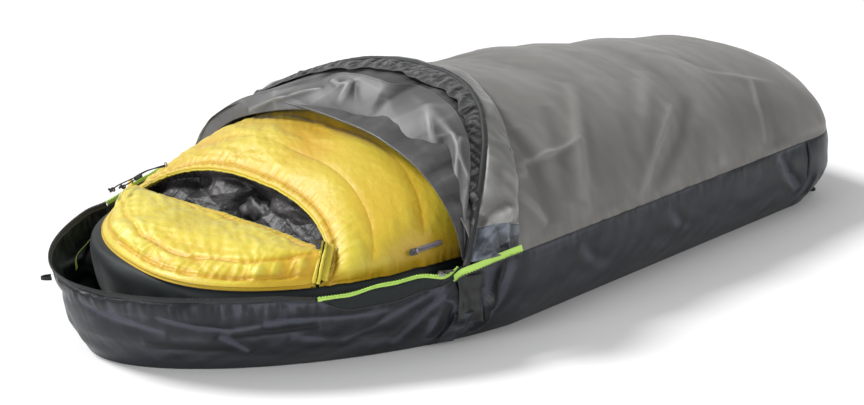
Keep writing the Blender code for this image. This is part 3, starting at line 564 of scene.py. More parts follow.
# A darker, oranger copy of the shell's yellow: painted shade, for the pipings low on the head seam.
YELLOW_SHADED = fabric("shell_yellow_shaded", (0.56, 0.35, 0.015), (0.42, 0.2, 0.006), (0.64, 0.46, 0.04),
                     0.45, 0.2, crinkle=0.01, crinkle_depth=0.001)
UNDERSIDE = fabric("bag_underside_cloth", (0.012, 0.016, 0.017), (0.007, 0.009, 0.01), (0.024, 0.03, 0.032),
                   0.5, 0.15, crinkle=0.03, crinkle_depth=0.0005, shine=0.2)
BAG_LINING = fabric("bag_lining_cloth", (0.018, 0.016, 0.018), (0.006, 0.005, 0.006), (0.05, 0.045, 0.05),
                    0.46, 0.1, crinkle=0.012, crinkle_depth=0.0008)
ZIP_GREY = fabric("zip_tape_grey", (0.27, 0.24, 0.28), (0.2, 0.18, 0.2), (0.32, 0.29, 0.33),
                  0.6, **ZIP_WEAVE)
COIL = hard_surface("zip_coil_dark", (0.020, 0.021, 0.022), 0.38)
COIL_LIME = hard_surface("zip_coil_lime", (0.42, 0.66, 0.12), 0.42)
COIL_GREY = hard_surface("zip_coil_grey", (0.22, 0.20, 0.23), 0.42)
METAL = hard_surface("slider_metal", (0.20, 0.20, 0.21), 0.36, 0.9)
PLASTIC = hard_surface("moulded_plastic", (0.035, 0.037, 0.040), 0.42)
ROD = hard_surface("pole_rod", (0.03, 0.03, 0.032), 0.3)
THREAD = hard_surface("thread_grey", (0.10, 0.10, 0.10), 0.7)
THREAD_DARK = hard_surface("thread_dark", (0.030, 0.033, 0.038), 0.7)
THREAD_YELLOW = hard_surface("thread_yellow", (0.50, 0.33, 0.02), 0.7)


# ---------------------------------------------------------------- outlines
def head_curve(part, offset):
    """The tub's round head end from its widest place (0) to the nose (1)."""
    lean = offset / RIM_FLARE
    side_pull, nose_pull, nose_y = (low + (high - low) * lean for low, high in zip(FLOOR_HEAD, RIM_HEAD))
    half = FLOOR_HALF + offset
    rest = 1 - part
    a, b, c, d = rest**3, 3 * rest**2 * part, 3 * rest * part**2, part**3
    x = (a + b) * half + c * nose_pull
    y = a * WIDEST_Y + b * (WIDEST_Y - side_pull) + (c + d) * nose_y
    return x, y


def side_half(y, offset=0.0):
    """Half the tub's width along its straight sides."""
    along = (y - WIDEST_Y) / (FOOT_END_Y - WIDEST_Y)
    return FLOOR_HALF + (FOOT_HALF - FLOOR_HALF) * along + offset


def foot_curve(angle, offset):
    """The tub's round foot end, from the near side (0) to the far side (pi)."""
    x = (side_half(SPINE_END_Y) + offset) * power(np.cos(angle), ACROSS)
    y = SPINE_END_Y + (FOOT_LENGTH + offset) * np.abs(np.sin(angle)) ** ACROSS
    return x, y


def closing(x, y, turn, top):
    """The filled sack above its widest height, at a turn from the side to the middle."""
    spine = np.minimum(y, SPINE_END_Y)
    reach = np.maximum(np.cos(turn), 0) ** ACROSS
    y = spine + (y - spine) * reach
    z = BULGE_HEIGHT + (top - BULGE_HEIGHT) * np.sin(turn) ** UPWARD
    return x * reach, y, z


def seam_turn(y):
    """The turn at which the tub's wall meets the top panel."""
    top = table(y, TOP_HEIGHTS)
    return np.arcsin(((SEAM_HEIGHT - BULGE_HEIGHT) / (top - BULGE_HEIGHT)) ** (1 / UPWARD))


def rim_height(y):
    """The rim dips a little and rises towards the mouth, where its bright tape shows."""
    return RIM_HEIGHT + table(y, [(-0.80, 0.0), (-0.73, -0.010), (-0.66, -0.008), (-0.60, 0.006),
                                  (-0.565, 0.005), (-0.515, 0.014), (-0.465, 0.000), (-0.42, -0.004)], 0.012)


# ---------------------------------------------------------------- the tub
SIDE_COUNT, HEAD_COUNT, FOOT_COUNT, WALL_ROWS = 250, 250, 110, 64


def wall_families(offset):
    """Plan places of the whole tub outline, in order from the near foot corner round
    the head and back: offset is (1, levels)."""
    ys = np.linspace(SPINE_END_Y, WIDEST_Y, SIDE_COUNT)[:, None]
    side = side_half(ys, offset), ys + 0 * offset
    parts = np.linspace(0, 1, 400)
    reference = np.stack(head_curve(parts, RIM_FLARE), -1)
    part = even(parts, reference, HEAD_COUNT)[1:, None]
    head = head_curve(part, offset)
    angles = np.linspace(math.pi, 0, 600)
    reference = np.stack(foot_curve(angles, BODY_BULGE), -1)
    angle = even(angles, reference, FOOT_COUNT)[1:-1, None]
    foot = foot_curve(angle, offset)
    x = np.concatenate([side[0], head[0], -head[0][-2::-1], -side[0][::-1], foot[0], side[0][:1]])
    y = np.concatenate([side[1], head[1], head[1][-2::-1], side[1][::-1], foot[1], side[1][:1]])
    return x, y


def tub_wall_grid():
    """The wall without its folds, and 0 to 1 per row: open head part to closed body."""
    level = np.linspace(0, 1, WALL_ROWS)[None]
    x, y = wall_families(RIM_FLARE * np.sin(math.pi / 2 * level))
    head = np.stack([x, y, rim_height(y[:, -1:]) * level], -1)
    widest_level = 0.52  # part of the wall's rows below its widest height
    low = np.minimum(level / widest_level, 1)
    x, y = wall_families(BODY_BULGE * np.sin(math.pi / 2 * low))
    turn = seam_turn(y) * np.clip((level - widest_level) / (1 - widest_level), 0, 1)
    top = table(y, TOP_HEIGHTS)
    bx, by, bz = closing(x, y, turn, top)
    bz = np.where(level < widest_level, BULGE_HEIGHT * low, bz)
    body = np.stack([bx, by, bz], -1)
    part = smooth(y[:, -1:], MOUTH_Y - 0.050, MOUTH_Y + 0.012)[..., None]
    grid = head * (1 - part) + body * part
    rounds = 12
    closed = np.concatenate([grid[-1 - rounds:-1], grid, grid[1:1 + rounds]])
    return soften(closed, rounds)[rounds:-rounds], part[..., 0]


TUB_CREASES = [  # of the tub wall, on both sides
    ([(502, -280, 190), (503, -315, 140), (494, -342, 85), (445, -355, 0)], -30, 10, 1),
    ([(502, -252, 180), (505, -285, 125), (490, -312, 60), (444, -320, 0)], 12, 12, 0),
    ([(498, -310, 185), (503, -345, 140), (497, -372, 100)], 12, 9, 0),
    ([(480, -445, 140), (468, -481, 103), (439, -506, 62), (405, -535, 15)], 11, 10, 0),
    ([(478, -432, 120), (458, -444, 67), (430, -452, 20)], -10, 10, 1),
    ([(482, -455, 165), (462, -520, 125), (425, -600, 85), (390, -660, 60)], 7, 12, 0),
    ([(455, -560, 118), (391, -715, 125), (362, -771, 124), (331, -820, 118)], 8, 10, 0),
    ([(391, -715, 110), (331, -820, 104), (289, -872, 94)], -8, 11, 1),
    ([(331, -820, 118), (289, -872, 106), (249, -926, 115), (189, -993, 140)], 9, 9, 0),
    ([(270, -890, 96), (282, -855, 72), (289, -822, 50)], 8, 10, 0),
    ([(350, -765, 80), (392, -680, 62), (420, -600, 45)], 7, 14, 1),
    ([(20, -1069, 156), (73, -1055, 132), (140, -1020, 118), (200, -970, 100)], 7, 10, 0),
    ([(150, -995, 75), (225, -935, 70), (300, -845, 60)], -7, 14, 1),
    ([(488, -400, 172), (489, -385, 120), (480, -372, 70)], 10, 9, 0),
    ([(472, -415, 165), (480, -405, 110), (462, -400, 40)], -14, 9, 0),
    ([(385, 720, 180), (395, 765, 120), (370, 830, 60)], 8, 14, 1),
    ([(330, 900, 160), (360, 880, 90), (340, 880, 30)], -10, 12, 1),
    ([(470, -50, 150), (490, 10, 100), (470, 80, 50)], 5, 18, 1),
    ([(430, 270, 160), (455, 330, 100), (430, 420, 45)], 5, 18, 1),
]


def make_tub_wall():
    base, bodyness = tub_wall_grid()
    along = rows_gone(base)
    below = (base[:, -1:, 2] - base[..., 2]) * 1.15
    free = smooth(base[..., 2], 0.0, 0.05)
    lift = 0.0095 * puckers(along, below, 0.028, 0.030, 3) * (1 - bodyness) * smooth(below, 0.001, 0.012)
    lift = lift + 0.0022 * puckers(along, below, 0.026, 0.022, 8) * bodyness
    flat = np.stack([along, base[..., 2] * 3.0 + 0.10 * along, np.zeros_like(along)], -1)
    calm = 1 - 0.55 * bodyness
    lift = lift + free * calm * (0.0060 * noise(flat, 0.22, 11) + 0.0058 * facets(flat, 0.24, 12, 5))
    lift = lift + free * calm * 0.0020 * facets(base, 0.075, 14, 5)
    junction = bell(base[..., 1], MOUTH_Y + 0.015, 0.050) * free
    bunched = 0.0085 * facets(base, (0.05, 0.05, 0.09), 20, 6) + 0.0030 * crumple(base, 0.030, 21, 2)
    lift = lift + junction * bunched
    lift = lift + creases(base, TUB_CREASES, 1.3, True) * np.minimum(free + 0.3, 1)
    lift = lift * smooth(below, -0.001, 0.010)
    grid = push(base, lift, (1, 0, 0))
    grid[..., 2] = np.maximum(grid[..., 2], 0.0006)
    outer_sheet("tub_wall", grid, "bivy", [TUB, TUB_INSIDE], 0.0016,
                ["tub_head_wall", "tub_side_near", "tub_side_far", "tub_foot_wall"],
                painted_fold_shade(base, grid, (1, 0, 0), 0.009), welded=True)
    return grid


def make_tub_floor():
    inset = 0.006
    ring = np.concatenate([a[:, :1] for a in wall_families(np.array([[-inset]]))], 1)
    middle_y = np.clip(ring[:, 1], FLOOR[0].y + 0.45, FLOOR[1].y - 0.3)
    level = np.linspace(0, 1, 40)[None, :, None]
    middle = np.stack([0 * middle_y, middle_y], -1)
    flat = ring[:, None] * (1 - level) + middle[:, None] * level
    base = np.concatenate([flat, np.full(flat.shape[:2] + (1,), 0.0030)], -1)
    lift = 0.0016 * crumple(base, 0.07, 31, 3)
    base[..., 2] += np.clip(lift, -0.0022, 0.004)
    # The fold value paints shade in the crumples' hollows and highlight on their tops.
    piece = weld(grid_piece("tub_floor_cloth", base, np.clip(0.5 + lift / 0.003, 0, 1)))
    dress(piece, "bivy", [TUB_INSIDE], 0.0012, ["tub_floor"], side=0.0)


# ---------------------------------------------------------------- the top panel
PANEL_CREASES = [  # of the top panel
    ([(392, -190, 340), (374, -120, 341), (366, -20, 343), (350, 78, 347)], 9, 10, 0),
    ([(396, -185, 330), (400, -150, 325), (385, -125, 338)], 7, 8, 0),
    ([(300, 420, 352), (385, 285, 295), (446, 160, 203)], 8, 16, 0),
    ([(285, 500, 350), (391, 340, 276), (436, 230, 212)], -6, 22, 1),
    ([(238, 765, 340), (316, 711, 297), (378, 675, 220)], 7, 9, 0),
    ([(200, 640, 370), (250, 770, 335), (270, 840, 300)], 5, 14, 0),
    ([(280, -80, 388), (405, -110, 310), (470, -120, 220)], -8, 30, 1),
    ([(170, 200, 416), (340, 70, 350), (450, -20, 245)], 7, 20, 1),
    ([(420, -205, 300), (452, -165, 262), (472, -140, 225)], 9, 12, 0),
    ([(240, 60, 400), (370, -10, 335), (450, -60, 250)], -6, 26, 1),
    ([(160, 460, 400), (290, 330, 368), (390, 220, 290)], 6, 26, 1),
    ([(60, 560, 408), (160, 640, 390), (230, 700, 358)], -4, 18, 0),
]


def make_top_panel():
    ys = np.linspace(MOUTH_Y + 0.024, SPINE_END_Y, 190)
    angles = np.linspace(0, math.pi / 2, 400)
    reference = np.stack(foot_curve(angles, BODY_BULGE), -1)
    angle = even(angles, reference, 70)[1:]
    foot = foot_curve(angle, BODY_BULGE)
    x = np.concatenate([side_half(ys, BODY_BULGE), foot[0]])
    y = np.concatenate([ys, foot[1]])
    x[-1] = 0.0
    part = np.linspace(0, 1, 120)[None] ** 0.9
    start = seam_turn(y)[:, None]
    turn = start + (math.pi / 2 - start) * part
    plan_y = closing(x[:, None], y[:, None], turn, 1)[1]
    near = np.stack(closing(x[:, None], y[:, None], turn, table(plan_y, TOP_HEIGHTS)), -1)
    near[:, -1, 0] = 0.0
    far = near[:, -2::-1] * np.array([-1, 1, 1])
    base = soften(soften(np.concatenate([near, far], 1), 6, 0), 2, 1)
    along = rows_gone(base)
    across = lengths_along(base, 1)
    away = np.minimum(across, across[::-1])[None] + np.zeros(len(base))[:, None]
    pinned = smooth(away, 0.0, 0.030)
    lift = pinned * 0.0090 * noise(base, (0.7, 0.17, 0.6), 41)
    lift = lift + pinned * 0.0075 * facets(base, (0.50, 0.20, 0.40), 43, 6)
    lift = lift + 0.0018 * puckers(along, away, 0.026, 0.040, 45)
    lift = lift + pinned * 0.0006 * facets(base, 0.060, 47, 4)
    mouth = np.exp(-(base[..., 1] - MOUTH_Y) / 0.16)
    lift = lift + pinned * mouth * 0.0060 * facets(base, (0.24, 0.085, 0.20), 48, 5)
    lift = lift + creases(base, PANEL_CREASES, 1.2)
    # the far side has the same folds, lower and 70 mm nearer the foot
    far_side = [([(-a, b + 70, c) for a, b, c in line], *rest) for line, *rest in PANEL_CREASES]
    lift = lift + creases(base, far_side)
    grid = push(base, lift, (0, 0, 1))
    grid[-1, :, 0] = 0.0
    grid[-1] = (grid[-1] + grid[-1][::-1]) / 2
    outer_sheet("top_panel_cloth", grid, "bivy", [PANEL, LINING], 0.0014, ["top_panel"],
                painted_fold_shade(base, grid, (0, 0, 1), 0.012), welded=True)


# ---------------------------------------------------------------- trim on the tub
def at_heights(column, heights):
    """Points of one column of the wall, at the given heights."""
    column = column[np.argsort(column[:, 2])]
    return np.stack([np.interp(heights, column[:, 2], column[:, k]) for k in range(3)], -1)


def make_rim_facing(wall):
    """Charcoal facing below the bright tape on each side, with a dark border."""
    edge = wall[:, -1]
    half = len(edge) // 2
    for side, sign, low_row, high_row in (("near", 1, 0, half), ("far", -1, half, len(edge))):
        rows = [i for i in range(low_row, high_row) if -0.715 < edge[i][1] < MOUTH_Y - 0.006]
        part = np.linspace(0, 1, len(rows))
        part = part if edge[rows[0]][1] < edge[rows[-1]][1] else part[::-1]
        depth = 0.004 + 0.034 * np.sin(np.pi * part ** 0.8) ** 0.9
        facing = []
        for row, deep in zip(rows, depth):
            top = wall[row, -1, 2]
            facing.append(at_heights(wall[row], np.linspace(top - deep, top - 0.0005, 14)))
        base = push(np.array(facing), np.full((len(rows), 14), 0.0020), (sign, 0, 0))
        sheet(f"rim_facing_{side}", base, "bivy", UNDERSIDE, 0.0012)
        border = base[:, 0] + np.array([sign * 0.0008, 0, 0])
        cord(f"rim_facing_border_{side}", border, 0.0018, "bivy", TAPE)


def make_rim(wall):
    """Zipper tape with its coil round the tub's open edge, dark round the head and
    bright at the two sides."""
    edge = wall[:, -1]
    shift = normals(wall, (1, 0, 0))[:, -1]
    out = shift * np.array([1, 1, 0])
    out /= np.linalg.norm(out, axis=1, keepdims=True)
    bright_from = -0.725  # metres along the sack
    chosen = {"head": [], "near": [], "far": []}
    for i in range(len(edge)):
        if edge[i][1] < bright_from:
            chosen["head"].append(i)
        elif edge[i][1] < MOUTH_Y - 0.008:
            chosen["near" if edge[i][0] > 0 else "far"].append(i)
    up = np.array([0, 0, 1.0])
    width = 0.0105
    for key, rows in chosen.items():
        slot, material, coil = ("tape", TAPE, COIL) if key == "head" else ("lime", LIME, COIL_LIME)
        path = edge[rows] - out[rows] * 0.0006
        lean = up * 0.92 - out[rows] * 0.30
        cloth = ribbon_grid(path + lean * width * 0.42, lean, width, 5)
        cloth = push(cloth, 0.0010 * noise(cloth, 0.05, 60), (0, 0, 1))
        sheet(f"rim_tape_{key}", cloth, "bivy", material, 0.0013, [f"rim_zip_tape_{key}"])
        teeth = path + lean * width * 0.86 - out[rows] * 0.0010
        zip_teeth(f"rim_coil_{key}", teeth, -out[rows], "bivy", coil)
        binding = path + out[rows] * 0.0006 + up * 0.0004
        cord(f"rim_binding_{key}", binding, 0.0016, "bivy", TAPE)
        if key == "head":
            stitches("rim_stitches_head", path - up * 0.006 + out[rows] * 0.0012, out[rows], "bivy",
                     THREAD_DARK, 0.006)


# ---------------------------------------------------------------- the hood
def arch(angle, half, lean_degrees, radius):
    """Points of the hood: angle runs from the near hinge over the top to the far one.
    The more the hood leans back, the rounder it is, and the more its sides trail."""
    back = np.asarray(lean_degrees, float) / POLE_LEAN
    lean = np.radians(lean_degrees) * 1.12
    radius = radius * (1 + 0.12 * back)
    rise = np.maximum(np.sin(angle), 0)
    size = rise ** (UPWARD + 0.4 * back)
    trail = back * (0.022 * np.sin(2 * angle) - 0.161 * np.cos(angle) ** 2 * rise)
    x = half * power(np.cos(angle), ACROSS)
    y = HINGE.y + size * radius * np.sin(lean) + trail
    z = HINGE.z + size * radius * np.cos(lean) + 0.008 * back * np.sin(2 * angle)
    return np.stack(np.broadcast_arrays(x, y, z), -1)


def arch_angles(half, first_degrees, count):
    first = math.radians(first_degrees)
    angles = np.linspace(first, math.pi - first, 900)
    return even(angles, arch(angles, half, 30.0, 0.36), count)[:, None]


def hood_grid(line, half, first_degrees, count, rows):
    """A sheet over the arch. line is its cross-section as (lean in degrees, radius)."""
    angle = arch_angles(half, first_degrees, count)
    lean, radius = np.array(line, float).T
    at, part = np.linspace(0, 1, len(line)), np.linspace(0, 1, rows)
    return arch(angle, half, np.interp(part, at, lean)[None], np.interp(part, at, radius)[None])


COLLAR_TOP = [  # x, lean in degrees, radius: the collar's upper edge is folded over unevenly
    (-0.47, 8.0, 0.250), (-0.32, 7.0, 0.250), (-0.23, 7.0, 0.258), (-0.128, 12.0, 0.282),
    (-0.059, 17.3, 0.311), (0.007, 18.8, 0.316), (0.104, 20.0, 0.320), (0.116, 28.5, 0.335),
    (0.228, 28.0, 0.346), (0.344, 31.5, 0.367), (0.416, 30.8, 0.367), (0.47, 26.0, 0.350)]
COLLAR_CREASES = [  # of the hood's collar
    ([(6, -370, 447), (7, -345, 458), (7, -310, 476)], 10, 7, 0),
    ([(7, -310, 476), (40, -340, 462), (80, -368, 447)], -7, 10, 0),
    ([(-59, -325, 470), (-20, -330, 466), (5, -316, 474)], 6, 7, 0),
    ([(112, -305, 473), (146, -345, 458), (126, -365, 447), (0, -395, 428)], 10, 8, 0),
    ([(-60, -345, 455), (-150, -385, 425), (-270, -405, 365)], 8, 7, 0),
    ([(120, -250, 464), (246, -279, 440), (319, -285, 417), (425, -330, 346)], 10, 8, 0),
    ([(210, -265, 456), (300, -330, 415), (335, -368, 370)], 7, 10, 0),
    ([(330, -275, 420), (395, -345, 345), (420, -380, 280)], 11, 10, 0),
    ([(300, -300, 415), (370, -350, 345), (395, -385, 290)], -10, 12, 1),
]


def make_collar():
    half = 0.486
    outward = (0, -1, 0.5)
    angle = arch_angles(half, 12, 300)
    x = half * power(np.cos(angle), ACROSS)
    edges, leans, radii = np.array(COLLAR_TOP).T
    top_lean, top_radius = np.interp(x, edges, leans), np.interp(x, edges, radii)
    part = np.linspace(0, 1, 60)[None]
    low_lean = 1.0 + 12.0 * smooth(x, -0.30, 0.25) + 17.0 * smooth(x, 0.22, 0.45)
    lean = low_lean + (top_lean - low_lean) * part
    low_radius = 0.236 - 0.030 * smooth(-x, 0.0, 0.32) + 0.030 * smooth(x, 0.25, 0.45)
    radius = low_radius + (top_radius - low_radius) * part ** 0.8
    half = half - 0.040 * smooth(-x, 0.10, 0.40) * (1 - part)
    base = soften(arch(angle, half, lean, radius), 3)
    lift = 0.0030 * noise(base, 0.16, 61) + 0.0080 * facets(base, (0.22, 0.20, 0.20), 62, 4, 0.15)
    lift = lift + creases(base, COLLAR_CREASES, 1.5)
    grid = push(base, lift, outward)
    hem = grid[:, -1:] + np.array([0, 0.004, -0.007])
    grid = np.concatenate([grid, hem], 1)
    shade = painted_fold_shade(base, grid[:, :-1], outward, 0.008)
    # The hem row is painted bright: a painted highlight along the collar's folded top edge.
    shade = np.concatenate([shade, shade[:, -1:] * 0 + 0.9], 1)
    sheet("hood_collar_cloth", grid, "hood", COLLAR, 0.0014, ["hood_inner_collar"], shade)
    seam = grid[:, -5] + (grid[:, -5] - grid[:, -8]) * 0.01
    stitches("hood_collar_stitches", seam, (0, -1, 0.6), "hood", THREAD_DARK, 0.007)


def make_hood_liner():
    line = [(4, 0.238), (14, 0.256), (24, 0.284), (32, 0.316), (37.5, 0.350), (39.8, 0.380)]
    base = hood_grid(line, 0.494, 9, 300, 70)
    angle = arch_angles(0.494, 9, 300)
    part = np.linspace(0, 1, 70)[None]
    place = np.stack(np.broadcast_arrays(angle * 0.36, part * 0.05, 0 * angle), -1)
    lift = 0.0085 * facets(place, (0.09, 0.16, 1), 71, 6) + 0.0045 * noise(place, 0.06, 73)
    lift = (lift + 0.0020 * facets(base, 0.045, 74, 4)) * np.sin(np.pi * np.clip(part, 0.02, 0.98)) ** 0.5
    grid = push(base, lift, (0, -1, 0.5))
    outer_sheet("hood_outer_cloth", grid, "hood", [LINING, PANEL], 0.0016,
                ["hood_outer_panel"], painted_fold_shade(base, grid, (0, -1, 0.5), 0.008))


def make_net():
    """The insect net is gathered in a dark frill under the rim, and bunched at its near end."""
    angle = arch_angles(0.494, 12, 520)
    part = np.linspace(0, 1, 44)[None]
    x = 0.494 * power(np.cos(angle), ACROSS)
    drop = 6.0 + 1.0 * smooth(-x, 0.05, 0.35) + 0 * part
    drop = drop + 6.5 * smooth(x, 0.26, 0.38) - 10.0 * smooth(x, 0.40, 0.455)
    drop = drop + 1.6 * noise(np.stack([x, 0 * x, 0 * x], -1), 0.045, 81)
    lean = 39.9 - 0.75 * drop * part
    radius = 0.3815 - 0.0062 * drop * part ** 0.9
    base = arch(angle, 0.496, lean, radius)
    base = push(base, 0.0020 + 0.0050 * np.sin(np.pi * part) ** 0.8 * np.ones_like(angle), (0, -1, 0.5))
    flat = np.stack(np.broadcast_arrays(angle * 0.37, part * 0.055, 0 * angle), -1)
    lift = 0.0042 * crumple(flat, (0.022, 0.10, 1), 82, 3) + 0.0040 * facets(base, 0.030, 84, 6)
    grid = push(base, lift * (0.25 + np.sin(np.pi * part)), (0, -1, 0.5))
    sheet("hood_net_frill", grid, "hood", NET, 0.0010, ["hood_bug_mesh"],
          painted_fold_shade(base, grid, (0, -1, 0.5), 0.005))


def make_pole_sleeve():
    angle = arch_angles(HOOD_HALF, 7, 420)[:, 0]
    path = arch(angle, HOOD_HALF, POLE_LEAN, POLE_RADIUS)
    path = path + 0.0022 * np.stack([noise(path, 0.07, s) for s in (91, 92, 93)], -1)
    radius = 0.0070 + 0.0010 * crumple(path, 0.03, 94, 2)
    ahead = (0, -1, 0.01)
    cord("hood_pole_rod", path, 0.0045, "hood", ROD, 10, ahead, ["hood_pole"])
    cord("hood_sleeve_cloth", path, radius, "hood", TAPE, 14, ahead, ["hood_pole_sleeve"])
    edge = path + np.array([0, -0.0060, -0.0042])
    cord("hood_sleeve_piping", edge, 0.0014, "hood", TAPE, up=ahead)


FLAP_EDGE_Y = [(0.0, 0.010), (0.148, -0.038), (0.228, -0.072), (0.30, -0.112), (0.36, -0.146),
               (0.42, -0.182), (0.466, -0.232), (0.495, -0.258)]
FLAP_CREASES = [  # of the hood's flap, on both sides
    ([(352, -140, 366), (392, -215, 340), (440, -290, 312), (462, -345, 290)], 12, 6, 0),
    ([(352, -140, 366), (430, -215, 320), (480, -262, 262)], 6, 10, 0),
    ([(350, -180, 385), (420, -245, 340), (470, -300, 275)], -10, 18, 1),
    ([(250, -150, 430), (330, -210, 405), (400, -270, 360)], 6, 12, 0),
    ([(60, -120, 440), (140, -150, 445), (240, -185, 430)], 5, 16, 1),
    ([(478, -262, 300), (488, -300, 255), (480, -340, 215)], 12, 9, 0),
    ([(468, -330, 290), (480, -350, 240), (470, -380, 200)], -10, 10, 1),
    ([(488, -262, 245), (470, -320, 225), (460, -360, 190)], 9, 8, 0),
]


HEM_TURN = [  # metres onward from the edge, then metres under it
    (0.0016, 0.0008), (0.0020, 0.0030), (0.0006, 0.0052), (-0.0060, 0.0066), (-0.020, 0.0072)]


def body_height(x, y):
    """Height of the filled sack's outside, without folds."""
    reach = np.clip(np.abs(x) / side_half(y, BODY_BULGE), 0, 1)
    turn = np.arccos(reach ** (1 / ACROSS))
    return BULGE_HEIGHT + (table(y, TOP_HEIGHTS) - BULGE_HEIGHT) * np.sin(turn) ** UPWARD


def make_flap():
    """The outside of the hood, thrown back: it falls from the rim on to the top panel."""
    columns, rows = 420, 90
    angle = arch_angles(0.506, 9, columns)
    part = np.linspace(0, 1, rows)[None, :, None]
    rim = arch(angle[:, 0], 0.504, 40.3, 0.3850)
    edge_y = table(np.abs(rim[:, 0]), FLAP_EDGE_Y, 0.03)
    held = np.minimum(np.abs(rim[:, 0]), side_half(edge_y, BODY_BULGE) * 0.985)
    lift = 0.011 + 0.010 * smooth(np.abs(rim[:, 0]), 0.30, 0.05)
    edge = np.stack([rim[:, 0] * 1.006, edge_y, body_height(held, edge_y) + lift], -1)
    base = rim[:, None] * (1 - part) + edge[:, None] * part
    bulge = np.sin(np.pi * part[..., 0]) * (0.010 + 0.010 * smooth(np.abs(rim[:, :1]), 0.25, 0.45))
    base = soften(push(base, bulge, (0, 0.5, 1)), 4)
    flat = np.stack(np.broadcast_arrays(angle * 0.45, part[..., 0] * 0.10, 0 * angle), -1)
    free = 1 - 0.55 * part[..., 0] ** 6
    fold = 0.0080 * facets(flat, (0.11, 0.30, 1), 101, 6) + 0.0050 * noise(flat, 0.06, 103)
    fold = fold + 0.0010 * facets(base, 0.045, 104, 4)
    fold = fold + creases(base, FLAP_CREASES, 1.3, True)
    low = smooth(np.abs(base[..., 0]), 0.45, 0.485)
    fold = fold + low * 0.0110 * facets(base, (0.05, 0.07, 0.06), 107, 6)
    fold = fold * smooth(part[..., 0], 0.0, 0.08) * free
    grid = push(base, fold, (0, 0.5, 1))
    shade = painted_fold_shade(base, grid, (0, 0.5, 1), 0.009)
    hem_out = grid[:, -1] - grid[:, -3]
    hem_out = hem_out / np.linalg.norm(hem_out, axis=1, keepdims=True)
    under = normals(grid, (0, 0.5, 1))[:, -1]
    hems = [grid[:, -1] + hem_out * onward - under * down for onward, down in HEM_TURN]
    grid = np.concatenate([grid] + [hem[:, None] for hem in hems], 1)
    shade = np.concatenate([shade] + [shade[:, -1:]] * len(hems), 1)
    split = np.searchsorted(angle[:, 0], math.radians(22.5))
    # The flap's cloth takes the lit copy of the panel laminate: painted light.
    pieces = [("hood_flap_cloth", slice(split - 1, columns - split + 1), "panel", [PANEL_LIT, LINING],
               "hood_back_flap"),
              ("hood_gusset_near", slice(0, split), "tub", [GUSSET], "hood_side_gusset_near"),
              ("hood_gusset_far", slice(columns - split, columns), "tub", [GUSSET], "hood_side_gusset_far")]
    for name, kept, slot, materials, node_name in pieces:
        outer_sheet(name, grid[kept], "hood", materials, 0.0016, [node_name], shade[kept])
    middle = slice(split, columns - split)
    stitches("hood_flap_stitches", grid[middle, rows - 6], under[middle], "hood",
             THREAD, 0.006, 0.001)


HOOD_TAPE_PLACES = [  # part of the tape's length, then metres outwards and upwards
    (-0.22, -0.026, -0.004), (-0.12, -0.014, 0.010), (0.10, -0.001, 0.020), (0.40, 0.0035, 0.027),
    (0.70, 0.005, 0.031), (0.95, 0.005, 0.033)]


def make_hood_tapes():
    """Wide bright tape at the hood's two low ends, each with a dark border and a coil."""
    for side, sign in (("near", 1), ("far", -1)):
        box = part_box(f"hood_zip_tape_{side}")
        length = box[1].y - box[0].y
        path = smooth_path([(sign * (HOOD_HALF + 0.0145 + b), box[0].y + length * a, HINGE.z + 0.004 + c)
                            for a, b, c in HOOD_TAPE_PLACES], 110)
        cloth = ribbon_grid(path, (sign * -0.16, -0.05, 1), 0.0135, 7)
        cloth = push(cloth, 0.0012 * noise(cloth, 0.035, 111), (sign, 0, 0))
        sheet(f"hood_tape_{side}", cloth, "hood", LIME, 0.0014, [f"hood_zip_tape_{side}"])
        border = path + np.array([sign * 0.0010, 0, -0.0090])
        border = ribbon_grid(border, (sign * -0.1, 0, 1), 0.0060, 4)
        sheet(f"hood_tape_border_{side}", border, "hood", TAPE, 0.0012)
        coil = path + np.array([sign * 0.0006, 0, -0.0062])
        zip_teeth(f"hood_coil_{side}", coil, (sign, 0, 0.1), "hood", COIL_LIME, 0.0034)


# ---------------------------------------------------------------- the sleeping bag
BAG_BASE = BAG_SEAM_HEIGHT + 0.0004
BAFFLE_SEAMS = (0.105, 0.235, 0.365, 0.500)  # metres behind the lip
LOFT = 0.030


def bag_half(y, offset=0.0):
    """Half the bag's width in plan, from its round head to where its foot closes."""
    ratio = np.clip((BAG_HEAD_Y - y) / (BAG_HEAD_LENGTH + offset), 0, 1)
    head = (BAG_HALF + offset) * (1 - ratio**2.5) ** 0.4
    along = (y - BAG_HEAD_Y) / (BAG_FOOT_Y - BAG_HEAD_Y)
    return np.where(y < BAG_HEAD_Y, head, BAG_HALF + (BAG_FOOT_HALF - BAG_HALF) * along + offset)


def bag_point(x, y, turn):
    """A point of the upper shell, without folds, at a turn from one side to the other."""
    spine = np.minimum(y, BAG_FOOT_Y)
    reach = power(np.cos(turn), ACROSS)
    y = spine + (y - spine) * np.abs(reach)
    top = table(y, BAG_HEIGHTS, 0.03)
    z = BAG_BASE + np.maximum(top - BAG_BASE, 0.004) * np.maximum(np.sin(turn), 0) ** UPWARD
    return np.stack(np.broadcast_arrays(x * reach, y, z), -1)


def lip_y(turn):
    return LIP_SIDE_Y + (LIP_TOP_Y - LIP_SIDE_Y) * np.maximum(np.sin(turn), 0) ** 1.3


